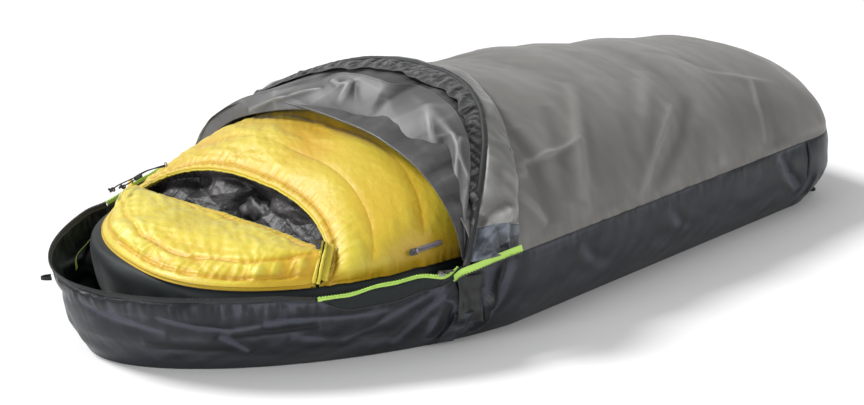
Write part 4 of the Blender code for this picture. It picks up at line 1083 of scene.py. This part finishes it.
def bag_rows(turn):
    """Plan places of the upper shell's rows, from the lip to the foot."""
    rear = BAG_HEAD_Y - 0.14
    front = lip_y(turn) + (rear - lip_y(turn)) * np.linspace(0, 1, 110)[:, None]
    fine_end = BAG_HEAD_Y + 0.30
    ys = np.concatenate([np.linspace(rear, fine_end, 150)[1:], np.linspace(fine_end, BAG_FOOT_Y, 40)[1:]])
    y = np.concatenate([front, ys[:, None] + 0 * turn])
    x = bag_half(y)
    angle = np.linspace(0, math.pi / 2, 26)[1:, None] + 0 * turn
    foot_x = BAG_FOOT_HALF * power(np.cos(angle), ACROSS)
    foot_y = BAG_FOOT_Y + BAG_FOOT_LENGTH * np.sin(angle) ** ACROSS
    return np.concatenate([x, foot_x]), np.concatenate([y, foot_y])


def along_rows(grid):
    """Distance from the first row, for every point of a grid."""
    steps = np.linalg.norm(np.diff(grid, axis=0), axis=-1)
    return np.concatenate([np.zeros((1, grid.shape[1])), np.cumsum(steps, axis=0)])


def roll_edge(grid, radius, back, ends):
    """Turn the first row over into a soft roll, and run it back inside. The roll fades out
    over a number of columns at both ends."""
    ahead = grid[0] - grid[2]
    ahead /= np.linalg.norm(ahead, axis=1, keepdims=True)
    out = normals(grid, (0, 0, 1))[1]
    column = np.arange(len(ahead))
    fade = np.clip(np.minimum(column, column[::-1]) / ends, 0.08, 1)[:, None]
    rows = []
    for turn in np.linspace(0, math.pi, 9)[1:]:
        rows.append(grid[0] - (out * (1 - math.cos(turn)) - ahead * math.sin(turn)) * radius * fade)
    for run in np.linspace(0, back, 10)[1:]:
        rows.append(grid[0] - (out * (2 * radius + run * 0.18) + ahead * run) * fade)
    return np.concatenate([np.array(rows[::-1]), grid])


def pocket_line(first, last, count):
    """The pocket's zipper on the undisturbed shell, and the directions up and out of it."""
    ys = np.linspace(first, last, count)
    turn = np.full(count, math.radians(11))
    path = bag_point(bag_half(ys), ys, turn)
    rise = bag_point(bag_half(ys), ys, turn + 0.02) - path
    rise /= np.linalg.norm(rise, axis=1, keepdims=True)
    return path, rise, np.stack([rise[:, 2], 0 * ys, -rise[:, 0]], -1)


def make_bag_upper():
    angles = np.linspace(0, math.pi, 900)
    section = bag_point(np.full(900, BAG_HALF), np.full(900, -0.45), angles)
    turn = even(angles, section, 330)[None]
    x, y = bag_rows(turn)
    base = bag_point(x, y, turn + 0 * x)
    gone = along_rows(base)
    across = lengths_along(base[60:120], 1)[None] + 0 * gone
    side = np.minimum(across, across[:, ::-1])
    awake = smooth(gone, 0.0, 0.05) * smooth(side, 0.0, 0.05)
    lift = 0.0 * gone
    edges = (0.020,) + BAFFLE_SEAMS
    for first, last in zip(edges, edges[1:]):
        part = np.clip((gone - first) / (last - first), 0, 1)
        lift = lift + 0.005 * (4 * part * (1 - part)) ** 0.8 * smooth(side, 0.0, 0.09)
    for place in BAFFLE_SEAMS:
        away = np.abs(gone - place - 0.014 * noise(base, 0.12, 120))
        strong = smooth(noise(base, 0.11, 119), -0.35, 0.35) * (1 - 0.85 * smooth(base[..., 0], -0.15, 0.15))
        lift = lift - 0.0006 * np.exp(-away / 0.005) * smooth(side, 0, 0.05) * strong
        lift = lift + 0.0028 * puckers(across, away, 0.026, 0.026, 121) * strong
    lift = lift + awake * (0.0100 * noise(base, (0.28, 0.16, 0.2), 123)
                           + 0.0050 * facets(base, (0.22, 0.10, 0.15), 124, 6))
    crinkly = 0.25 + 0.75 * smooth(-base[..., 0] - 0.6 * (base[..., 1] + 0.5), -0.15, 0.25)
    fine = 0.0038 * facets(base, (0.08, 0.035, 0.05), 126, 6) + 0.0014 * facets(base, 0.024, 128, 4)
    lift = lift + awake * crinkly * fine
    away = np.abs(gone - 0.013)
    lift = lift - 0.0030 * bell(away, 0, 0.0035)
    lift = lift + 0.0050 * puckers(across, gone - 0.014, 0.026, 0.034, 129)
    gathers = puckers(base[..., 1], side, 0.030, 0.045, 130)
    lift = lift + 0.0050 * gathers * smooth(gone, 0.0, 0.02)
    pocket = pocket_line(-0.535, -0.355, 9)[0]
    lift = lift * (1 - np.minimum(1.15 * crease(base, pocket, 0.030, 1), 1))
    grid = push(base, lift, (0, 0, 1))
    # shade: painted highlight on the puffs, painted shade along the lip's seam, near the sides and in the
    # rolled edge.
    shade = 0.5 + (lift - 0.010) / 0.034
    shade = shade - 0.30 * bell(away, 0, 0.005) - 0.35 * np.exp(-side / 0.020)
    shade = shade + (lift - blurred(lift)) / 0.0090
    rolled = roll_edge(grid, 0.0055, 0.040, 30)
    extra = len(rolled) - len(grid)
    shade = np.concatenate([np.full((extra, shade.shape[1]), 0.35), np.clip(shade, 0, 1)])
    sheet("bag_upper_cloth", rolled, "bag", YELLOW, 0.0012, ["bag_upper_shell"], shade, True)
    make_upper_trim(rolled, extra, turn[0])
    return rolled[4], turn[0]


def make_upper_trim(rolled, extra, turn):
    front = rolled[extra - 4]
    kept = (turn > math.radians(24)) & (turn < math.radians(156))
    piping = front[kept] + np.array([0, -0.0006, -0.0010])
    cord("bag_lip_piping_upper", piping, 0.0022, "bag", YELLOW, 10,
         replaces=["bag_face_piping_upper"])
    out = normals(rolled, (0, 0, 1))
    for shift, row in (("front", extra + 4), ("back", extra + 8)):
        stitches(f"bag_lip_stitches_{shift}", rolled[row][kept], out[row][kept], "bag",
                 THREAD_YELLOW, 0.0045)


HEAD_END_X, HEAD_END_Y = 0.316, -0.702  # upper and lower end of the seam beside the zipper


def lower_lip(x):
    return table(x, LOWER_LIP, 0.02)


def head_rim(angle):
    """The bag's outer seam round the head, in plan."""
    x = BAG_HALF * power(np.cos(angle), ACROSS)
    return np.stack([x, BAG_HEAD_Y - BAG_HEAD_LENGTH * np.sin(angle) ** ACROSS], -1)


def make_bag_head():
    """The hood of the bag lies flat: from its outer seam to the lower lip."""
    first = math.asin(((BAG_HEAD_Y - HEAD_END_Y) / BAG_HEAD_LENGTH) ** 1.25)
    angles = np.linspace(first, math.pi - first, 800)
    angle = even(angles, head_rim(angles), 330)
    rim_x, rim_y = head_rim(angle).T
    set_back = 0.030 * smooth(rim_x, 0.22, -0.20)
    size = np.hypot(rim_x, rim_y - BAG_HEAD_Y)
    rim_x = rim_x * (1 - set_back / size)
    rim_y = BAG_HEAD_Y + (rim_y - BAG_HEAD_Y) * (1 - set_back / size)
    lip_x = HEAD_END_X * (1 - 2 * (angle - first) / (math.pi - 2 * first))
    end = np.clip(np.minimum(angle - first, math.pi - first - angle) / 0.30, 0, 1)
    rise = 0.056 + 0.004 * end**0.6
    part = np.linspace(0, 1, 120)[:, None]
    x = lip_x + (rim_x - lip_x) * part
    y = lower_lip(lip_x) + (rim_y - lower_lip(lip_x)) * part
    height = 0.014 + (rise - 0.014 + 0.010 * np.sin(np.pi * part)) * (1 - part**4)
    base = np.stack([x, y, BAG_BASE + height], -1)
    gone = along_rows(base)
    left = gone[-1:] - gone
    across = lengths_along(base[40:], 1)[None] + 0 * gone
    near_front = 0.35 + 0.65 * smooth(x, -0.32, 0.05)
    lift = -0.0040 * bell(left, 0.016, 0.0045) - 0.0045 * bell(gone, 0.017, 0.0045)
    gathers = puckers(across, left - 0.014, 0.038, 0.050, 141) * smooth(left, 0.004, 0.02)
    lift = lift + 0.0110 * gathers * near_front
    lift = lift - 0.0050 * bell(left, 0.062 + 0.008 * noise(base, 0.08, 149), 0.007) * near_front
    lift = lift + 0.0040 * puckers(across, gone - 0.016, 0.028, 0.030, 143)
    awake = smooth(gone, 0.0, 0.04) * smooth(left, 0.0, 0.03)
    broad = 0.0080 * noise(base, (0.20, 0.11, 0.2), 144) + 0.0045 * facets(base, (0.14, 0.08, 0.1), 145, 6)
    fine = 0.0022 * facets(base, (0.045, 0.030, 0.04), 146, 6) + 0.0010 * facets(base, 0.020, 148, 4)
    lift = lift + awake * (broad + fine)
    column = np.arange(lift.shape[1])
    lift = lift * np.clip(np.minimum(column, column[::-1]) / 16, 0, 1)
    grid = push(base, lift, (0, 0, 1))
    # shade: painted highlight on the puffs and painted shade in the seams' grooves; the far side is painted
    # paler and the near side darker, as the key light falls from the far side.
    shade = 0.52 + (lift - 0.001) / 0.040 + (lift - blurred(lift)) / 0.0080
    shade = shade - 0.35 * bell(gone, 0.014, 0.010) - 0.38 * bell(left, 0.018, 0.012)
    shade = shade - 0.25 * near_front * bell(left, 0.06, 0.012)
    shade = shade + 0.20 * (1 - smooth(x, -0.35, 0.10)) - 0.30 * smooth(x, 0.25, 0.36)
    down = np.stack([grid[-1] - np.array([0, 0, drop]) for drop in (0.004, 0.009, 0.0135)])
    rim_out = np.stack([rim_x, rim_y - BAG_HEAD_Y, 0 * rim_x], -1)
    rim_out /= np.linalg.norm(rim_out, axis=1, keepdims=True)
    down = down + rim_out * np.array([0.0022, 0.0026, 0.0008])[:, None, None]
    grid = np.concatenate([grid, down])
    shade = np.concatenate([shade, np.repeat(shade[-1:], 3, 0)])
    rolled = roll_edge(grid, 0.0055, 0.030, 48)
    extra = len(rolled) - len(grid)
    shade = np.clip(np.concatenate([np.full((extra, shade.shape[1]), 0.25), shade]), 0, 1)
    sheet("bag_head_cloth", rolled, "bag", YELLOW, 0.0012, ["bag_hood_shell"], shade, True)
    # The pipings take the shaded copy of the yellow: painted shade low on the seam.
    for name, drop, radius in (("high", 0.0035, 0.0014), ("low", 0.0105, 0.0018)):
        path = (grid[-4] - np.array([0, 0, drop]) + rim_out * 0.0034)[4:-4]
        cord(f"bag_head_piping_{name}", path, radius, "bag", YELLOW_SHADED)
    kept = slice(22, -22)
    lip = rolled[extra - 4][kept] + np.array([0, 0.001, 0.0])
    cord("bag_lip_piping_lower", lip, 0.0030, "bag", YELLOW, 10,
         replaces=["bag_face_piping_lower"])
    out = normals(rolled, (0, 0, 1))
    stitches("bag_head_stitches", rolled[extra + 12][kept], out[extra + 12][kept], "bag",
             THREAD_YELLOW, 0.0045)
    stitches("bag_rim_stitches", grid[-14], out[-14], "bag", THREAD_YELLOW, 0.0045)


def bag_ring(offset, count):
    """The bag's whole outline in plan, evenly stepped."""
    angles = np.linspace(0, math.pi, 700)
    hx = (BAG_HALF + offset) * power(np.cos(angles), ACROSS)
    hy = BAG_HEAD_Y - (BAG_HEAD_LENGTH + offset) * np.abs(np.sin(angles)) ** ACROSS
    ys = np.linspace(BAG_HEAD_Y, BAG_FOOT_Y, 300)[1:-1]
    fx = (BAG_FOOT_HALF + offset) * power(np.cos(angles), ACROSS)
    fy = BAG_FOOT_Y + (BAG_FOOT_LENGTH + offset) * np.abs(np.sin(angles)) ** ACROSS
    x = np.concatenate([hx, -bag_half(ys, offset), fx[::-1], bag_half(ys[::-1], offset), hx[:1]])
    y = np.concatenate([hy, ys, fy[::-1], ys[::-1], hy[:1]])
    ring = np.stack([x, y], -1)
    return np.stack([even(ring[:, k], ring, count) for k in (0, 1)], -1)


UNDERSIDE_PROFILE = [  # metres outside the bag's plan, its height, and 0
    (-0.110, 0.0052, 0), (-0.058, 0.0052, 0), (-0.034, 0.030, 0), (-0.012, 0.080, 0), (-0.001, 0.130, 0),
    (0.003, 0.158, 0), (0.001, 0.174, 0), (-0.007, 0.185, 0), (-0.022, 0.1885, 0), (-0.045, 0.186, 0)]


def make_bag_underside():
    profile = smooth_path(UNDERSIDE_PROFILE, 54)
    count = 460
    rings = [np.concatenate([bag_ring(offset, count), np.full((count, 1), z)], 1)
             for offset, z, _ in profile]
    base = np.stack(rings, 1)
    along = rows_gone(base)
    free = smooth(base[..., 2], 0.006, 0.05) * (1 - smooth(base[..., 2], 0.15, 0.184))
    flat = np.stack([along, base[..., 2] * 0.45, 0 * along], -1)
    lift = free * (0.0070 * noise(flat, 0.11, 161) + 0.0045 * facets(flat, 0.16, 162, 5))
    grid = push(base, lift, (1, 0, 0))
    outer_sheet("bag_underside_cloth", grid, "bag", [UNDERSIDE, BAG_LINING], 0.0014,
                ["bag_underside"], painted_fold_shade(base, grid, (1, 0, 0), 0.008), welded=True)
    bottom = grid[:, :1]
    spine_y = np.clip(bottom[..., 1], BAG_HEAD_Y, BAG_FOOT_Y)
    part = np.linspace(0, 1, 30)[None, :, None]
    middle = np.stack([0 * spine_y, spine_y, 0 * spine_y + 0.0052], -1)
    sole = bottom * (1 - part) + middle * part
    sheet("bag_sole", sole, "bag", UNDERSIDE, 0.0012, welded=True)
    inside = sole + np.array([0, 0, LOFT])
    inside[..., 2] += 0.004 * np.clip(crumple(inside, 0.07, 166, 2), -0.8, 1)
    dress(weld(grid_piece("bag_sole_lining", inside)), "bag", BAG_LINING, 0.0012, side=1.0)


def make_lining_curtain(lip_in, lip_turn):
    """Crumpled lining that hangs behind the upper lip down to the draft collar."""
    kept = (lip_turn > math.radians(12)) & (lip_turn < math.radians(168))
    high = lip_in[kept]
    part = np.linspace(0, 1, 110)[None, :, None]
    low = np.stack([high[:, 0] * 0.93, np.minimum(lower_lip(high[:, 0]) + 0.055, high[:, 1] + 0.06),
                    0.190 + 0 * high[:, 0]], -1)
    base = high[:, None] * (1 - part) + low[:, None] * part
    bow = np.sin(np.pi * part[..., 0])
    base[..., 1] += 0.020 * bow
    lift = 0.0170 * facets(base, (0.13, 0.12, 0.10), 171, 6) + 0.0050 * facets(base, 0.050, 173, 5)
    lift = lift + 0.0130 * bell(part[..., 0], 0.16, 0.07) + 0.0012 * crumple(base, 0.022, 175, 2)
    hole = bell(base[..., 0], -0.045, 0.045) * bell(base[..., 2], 0.215, 0.035)
    lift = (lift - 0.055 * hole) * smooth(part[..., 0], 0.0, 0.08)
    grid = base + np.array([0, -0.9, 0.25]) * lift[..., None]
    # shade: painted shade, darkest in the hole pushed in at the middle, painted highlight where the lining
    # bulges out.
    shade = np.clip(0.5 + lift / 0.030, 0, 1)
    sheet("bag_lining_curtain", grid, "bag", BAG_LINING, 0.0012, (), shade)


def make_lining_tube():
    """The lining of the space that the sleeper lies in."""
    angles = np.linspace(0, 2 * math.pi, 97)
    ys = np.concatenate([np.linspace(-0.47, BAG_FOOT_Y, 60), BAG_FOOT_Y + np.array([0.05, 0.09])])
    shrink = np.concatenate([np.ones(60), [0.9, 0.7]])[:, None]
    rise = power(np.sin(angles), UPWARD)[None]
    centre = 0.160
    top = table(ys, BAG_HEIGHTS)[:, None] - LOFT - 0.006 - centre
    half = (bag_half(np.minimum(ys, BAG_FOOT_Y))[:, None] - LOFT - 0.016) * shrink
    x = half * power(np.cos(angles), ACROSS)[None]
    z = centre + rise * np.where(rise > 0, top, centre - 0.050) * shrink
    base = np.stack([x, ys[:, None] + 0 * x, z], -1)
    lift = 0.0060 * facets(base, 0.12, 176, 5)
    grid = push(base, lift, (1, 0, 0))
    grid[:, -1] = grid[:, 0]
    sheet("bag_lining_tube", grid, "bag", BAG_LINING, 0.0012, ["bag_lining"],
          painted_fold_shade(base, grid, (1, 0, 0), 0.008), True)


def make_draft_collar():
    """A stuffed tube across the bag, under the upper lip."""
    spine = smooth_path([(x, -0.5352 - 0.35 * x * x, 0.209 - 0.20 * x * x)
                         for x in np.linspace(-0.30, 0.30, 13)], 260)[:, None]
    _, side, up = path_frames(spine[:, 0], (0, 0, 1))
    around = np.linspace(0, 2 * math.pi, 91)[None, :, None]
    radius = 0.034 * (1 - 0.5 * np.abs(np.linspace(-1, 1, 260)) ** 6)[:, None, None]
    base = spine + radius * (np.cos(around) * side[:, None] + 0.95 * np.sin(around) * up[:, None])
    outward = (base - spine) / np.linalg.norm(base - spine, axis=-1, keepdims=True)
    lift = 0.0110 * facets(base, (0.09, 0.06, 0.06), 181, 6) + 0.0030 * facets(base, 0.026, 183, 4)
    grid = base + outward * lift[..., None]
    grid[:, -1] = grid[:, 0]
    # The fold value paints shade in the tube's hollows and highlight on its bulges.
    collar = weld(grid_piece("bag_draft_collar_cloth", grid, np.clip(0.5 + lift / 0.016, 0, 1)))
    dress(collar, "bag", BAG_LINING, 0.0, ["bag_draft_collar"])


def make_head_lining():
    """The hood's lining, from the lower lip down to the draft collar."""
    x = np.linspace(-0.30, 0.30, 220)[:, None]
    part = np.linspace(0, 1, 70)[None]
    height = 0.226 - 0.070 * part**0.8
    base = np.stack(np.broadcast_arrays(x, lower_lip(x) + 0.004 + 0.085 * part, height), -1)
    lift = 0.0110 * facets(base, (0.09, 0.07, 0.07), 191, 6) + 0.0040 * facets(base, 0.035, 193, 5)
    grid = push(base, lift * smooth(part, 0, 0.15), (0, 0, 1))
    sheet("bag_head_lining", grid, "bag", BAG_LINING, 0.0012, ["bag_hood_lining"],
          painted_fold_shade(base, grid, (0, 0, 1), 0.012))


def knot_path(centre, size, turn):
    angle = np.linspace(0, 2 * math.pi, 90)
    x = np.sin(angle) + 2 * np.sin(2 * angle)
    y = np.cos(angle) - 2 * np.cos(2 * angle)
    z = -1.2 * np.sin(3 * angle)
    cosine, sine = math.cos(turn), math.sin(turn)
    shape = np.stack([x * cosine - y * sine, x * sine + y * cosine, z], -1)
    return np.array(centre) + size / 3 * shape


def make_draw_cord():
    tip = np.array([-0.262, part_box("bag_draw_cord")[1].y, 0.284])
    strands = [
        [tip + (0.002, 0.014, 0.004), tip + (-0.002, -0.010, 0.001), tip + (-0.004, -0.040, -0.004),
         tip + (0.006, -0.075, -0.013), tip + (0.018, -0.112, -0.016)],
        [tip + (0.006, 0.012, 0.002), tip + (0.004, -0.014, 0.003), tip + (0.002, -0.042, 0.000),
         tip + (-0.006, -0.068, -0.012), tip + (-0.018, -0.098, -0.024), tip + (-0.014, -0.120, -0.030)]]
    for i, strand in enumerate(strands):
        cord(f"bag_cord_{i}", smooth_path(strand, 110), 0.0016, "bag", WEBBING,
             replaces=["bag_draw_cord"] if i == 0 else ())
        cord(f"bag_cord_knot_{i}", knot_path(strand[-1], 0.0075, i), 0.0018, "bag", WEBBING,
             up=(0.1, 0.2, 1))
    angle = np.linspace(0, 2 * math.pi, 33)
    circle = np.stack([np.cos(angle), 0 * angle, np.sin(angle)], -1)
    ring = tip + (0.004, 0.016, 0.006) + 0.0045 * circle
    cord("bag_eyelet", ring, 0.0012, "bag", METAL, up=(0, 1, 0.01))


def make_bag_zip():
    """The end of the bag's main zipper, between two welts, beside the face opening."""
    top = np.array([HEAD_END_X + 0.004, -0.644, 0.262])
    low = np.array([0.370, -0.708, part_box("bag_zip_tape")[0].z - 0.001])
    out = np.array([0.62, -0.45, 0.64]) / np.linalg.norm([0.62, -0.45, 0.64])
    across = np.cross(low - top, out)
    across /= np.linalg.norm(across)
    line = smooth_path([top, top * 0.66 + low * 0.34 + out * 0.010, top * 0.3 + low * 0.7 + out * 0.010,
                        low - out * 0.001], 90)
    cloth = ribbon_grid(line - out * 0.0060, across, 0.014, 5)
    sheet("bag_zip_cloth", cloth, "bag", TAPE, 0.0014, ["bag_zip_tape"])
    facing = ribbon_grid((line - out * 0.0100 - across * 0.0125)[:-10], across, 0.020, 5)
    sheet("bag_zip_facing", facing, "bag", YELLOW)
    zip_teeth("bag_zip_coil", line - out * 0.0050, out, "bag", COIL, 0.0030, 0.0046)
    for name, shift in (("left", -1), ("right", 1)):
        sway = 0.0012 * noise(line, 0.02, 205 + shift)[:, None]
        wavy = line + across * (shift * 0.0043 + sway) - out * 0.0030
        growing = 0.6 + 0.4 * np.linspace(0, 1, len(line)) ** 0.5
        radius = (0.0040 + 0.0012 * noise(line, 0.012, 203 + shift)) * growing
        cord(f"bag_zip_welt_{name}", wavy, radius, "bag", YELLOW, 14, out)


def make_pocket():
    path, rise, out = pocket_line(-0.4832, -0.4032, 40)
    line = path + out * 0.0024
    cloth = ribbon_grid(line, rise, 0.0115, 5)
    sheet("bag_pocket_tape", cloth, "bag", ZIP_GREY, 0.0016, ["bag_pocket_zip"])
    zip_teeth("bag_pocket_coil", line + out * 0.0008, out, "bag", COIL_GREY, 0.0026, 0.0042)


# ---------------------------------------------------------------- trim on the tub's side
PATCH_SPANS = [  # name, first and last y, lowest and highest z, look, slot, proud of the wall, node
    ("near_patch_cloth", -0.418, -0.352, 0.060, 0.168, PATCH, "webbing", 0.0042, "side_patch_near"),
    ("near_label_cloth", -0.448, -0.392, 0.012, 0.092, TUB, "tub", 0.0075, "label_tab")]


def make_side_trim(wall):
    """A dark patch and a blank tab sewn on where the mouth's zipper ends."""
    edge = wall[:, -1]
    near = (edge[:, 0] >= 0) & (np.arange(len(edge)) < len(edge) // 2)
    for name, first, last, low, high, material, slot, proud, node_name in PATCH_SPANS:
        rows = np.where(near & (edge[:, 1] > first) & (edge[:, 1] < last))[0]
        cover = np.array([at_heights(wall[row], np.linspace(low, high, 40)) for row in rows])
        cover = soften(soften(cover, 6, 0), 12, 1)
        if name == "near_label_cloth":
            lean = 0.30  # the tab leans towards the foot
            cover[..., 1] += lean * (cover[..., 2] - 0.05)
        base = push(cover, np.full(cover.shape[:2], proud), (1, 0, 0))
        grid = push(base, 0.0016 * facets(base, 0.05, 211, 4), (1, 0, 0))
        sheet(name, grid, "bivy", material, 0.0016, [node_name], painted_fold_shade(base, grid, (1, 0, 0), 0.004))
        border = np.concatenate([grid[1:-1, 1], grid[-2, 1:-1], grid[1:-1, -2][::-1], grid[1, 1:-1][::-1]])
        stitches(f"{name}_stitches", border, (1, 0, 0.01), "bivy", THREAD_DARK, 0.006, 0.001)


def make_loose_tape():
    """The far zipper tape's loose end lies against the inside of the head wall."""
    path = smooth_path([(-0.322, -0.792, 0.150), (-0.290, -0.842, 0.142), (-0.270, -0.868, 0.139),
                        (-0.238, -0.908, 0.137), (-0.221, -0.923, 0.132), (-0.212, -0.927, 0.116)], 90)
    cloth = ribbon_grid(path, (0.35, 0.35, 1), 0.009, 5)
    cloth = push(cloth, 0.0012 * noise(cloth, 0.03, 221), (1, 1, 0))
    sheet("rim_tape_loose_far", cloth, "bivy", LIME)


# ---------------------------------------------------------------- stage and camera
def make_stage():
    floor_mesh = bpy.data.meshes.new("floor")
    size = 30.0
    corners = [(-size, -size, 0), (size, -size, 0), (size, size, 0), (-size, size, 0)]
    floor_mesh.from_pydata(corners, [], [(0, 1, 2, 3)])
    floor = link("floor", floor_mesh)
    material, _, shader = new_material("studio_floor", Roughness=0.9)
    shader.inputs["Base Color"].default_value = (0.90, 0.90, 0.90, 1)
    shader.inputs["Specular IOR Level"].default_value = 0.1
    floor.data.materials.append(material)
    world = bpy.data.worlds.new("studio")
    bpy.context.scene.world = world
    world.use_nodes = True
    sky = world.node_tree.nodes["Background"]
    sky.inputs["Color"].default_value = (1.0, 1.0, 1.0, 1)
    sky.inputs["Strength"].default_value = 0.50


def area_light(name, place, target, size, energy):
    data = bpy.data.lights.new(name, "AREA")
    data.shape = "RECTANGLE"
    data.size, data.size_y = size
    data.energy = energy
    lamp = link(name, data)
    lamp.location = place
    lamp.rotation_euler = (Vector(target) - Vector(place)).to_track_quat("-Z", "Y").to_euler()


def make_lights():
    """A broad soft key from behind the left shoulder of the view, and a weak fill."""
    data = bpy.data.lights.new("key", "SUN")
    data.energy = 3.1
    data.angle = math.radians(18)
    lamp = link("key", data)
    lamp.rotation_euler = Vector((-0.70, -0.42, 0.80)).to_track_quat("Z", "Y").to_euler()
    area_light("fill", (0.6, -4.8, 1.5), (0.2, -0.4, 0.15), (1.6, 1.2), 75)
    area_light("side", (4.6, 1.2, 2.2), (0.2, 0.3, 0.2), (2.0, 1.5), 40)


def make_view():
    bpy.context.scene.view_settings.view_transform = "Standard"


def make_camera():
    target = Vector((-0.2316, 0.1241, 0.0310))
    azimuth, elevation, distance = math.radians(49.42), math.radians(19.04), 5.62
    back = Vector((math.sin(azimuth) * math.cos(elevation), -math.cos(azimuth) * math.cos(elevation),
                   math.sin(elevation)))
    data = bpy.data.cameras.new("camera")
    data.lens, data.sensor_width = 92.93, 36.0
    camera = link("camera", data)
    camera.location = target + back * distance
    camera.rotation_euler = (-back).to_track_quat("-Z", "Y").to_euler()
    bpy.context.scene.camera = camera


def finish_cad_nodes():
    """CAD parts whose shape is right keep it, with softer edges and a finished material."""
    kinds = [("slider", METAL), ("pull", PLASTIC), ("cord_lock", PLASTIC), ("loop", WEBBING)]
    for name, piece in frame["nodes"].items():
        material = next((kind[1] for kind in kinds if kind[0] in name), None)
        if piece.hide_render or material is None:
            continue
        piece.data.materials.clear()
        piece.data.materials.append(material)
        rounded = piece.modifiers.new("rounded", "BEVEL")
        rounded.width = 0.0005
        rounded.segments = 2


def main():
    make_stage()
    make_view()
    make_lights()
    make_camera()
    wall = make_tub_wall()
    make_tub_floor()
    make_top_panel()
    make_rim(wall)
    make_rim_facing(wall)
    make_collar()
    make_hood_liner()
    make_net()
    make_pole_sleeve()
    make_flap()
    make_hood_tapes()
    lip_in, lip_turn = make_bag_upper()
    make_bag_head()
    make_bag_underside()
    make_lining_curtain(lip_in, lip_turn)
    make_lining_tube()
    make_draft_collar()
    make_head_lining()
    make_draw_cord()
    make_bag_zip()
    make_pocket()
    make_side_trim(wall)
    make_loose_tape()
    finish_cad_nodes()


main()
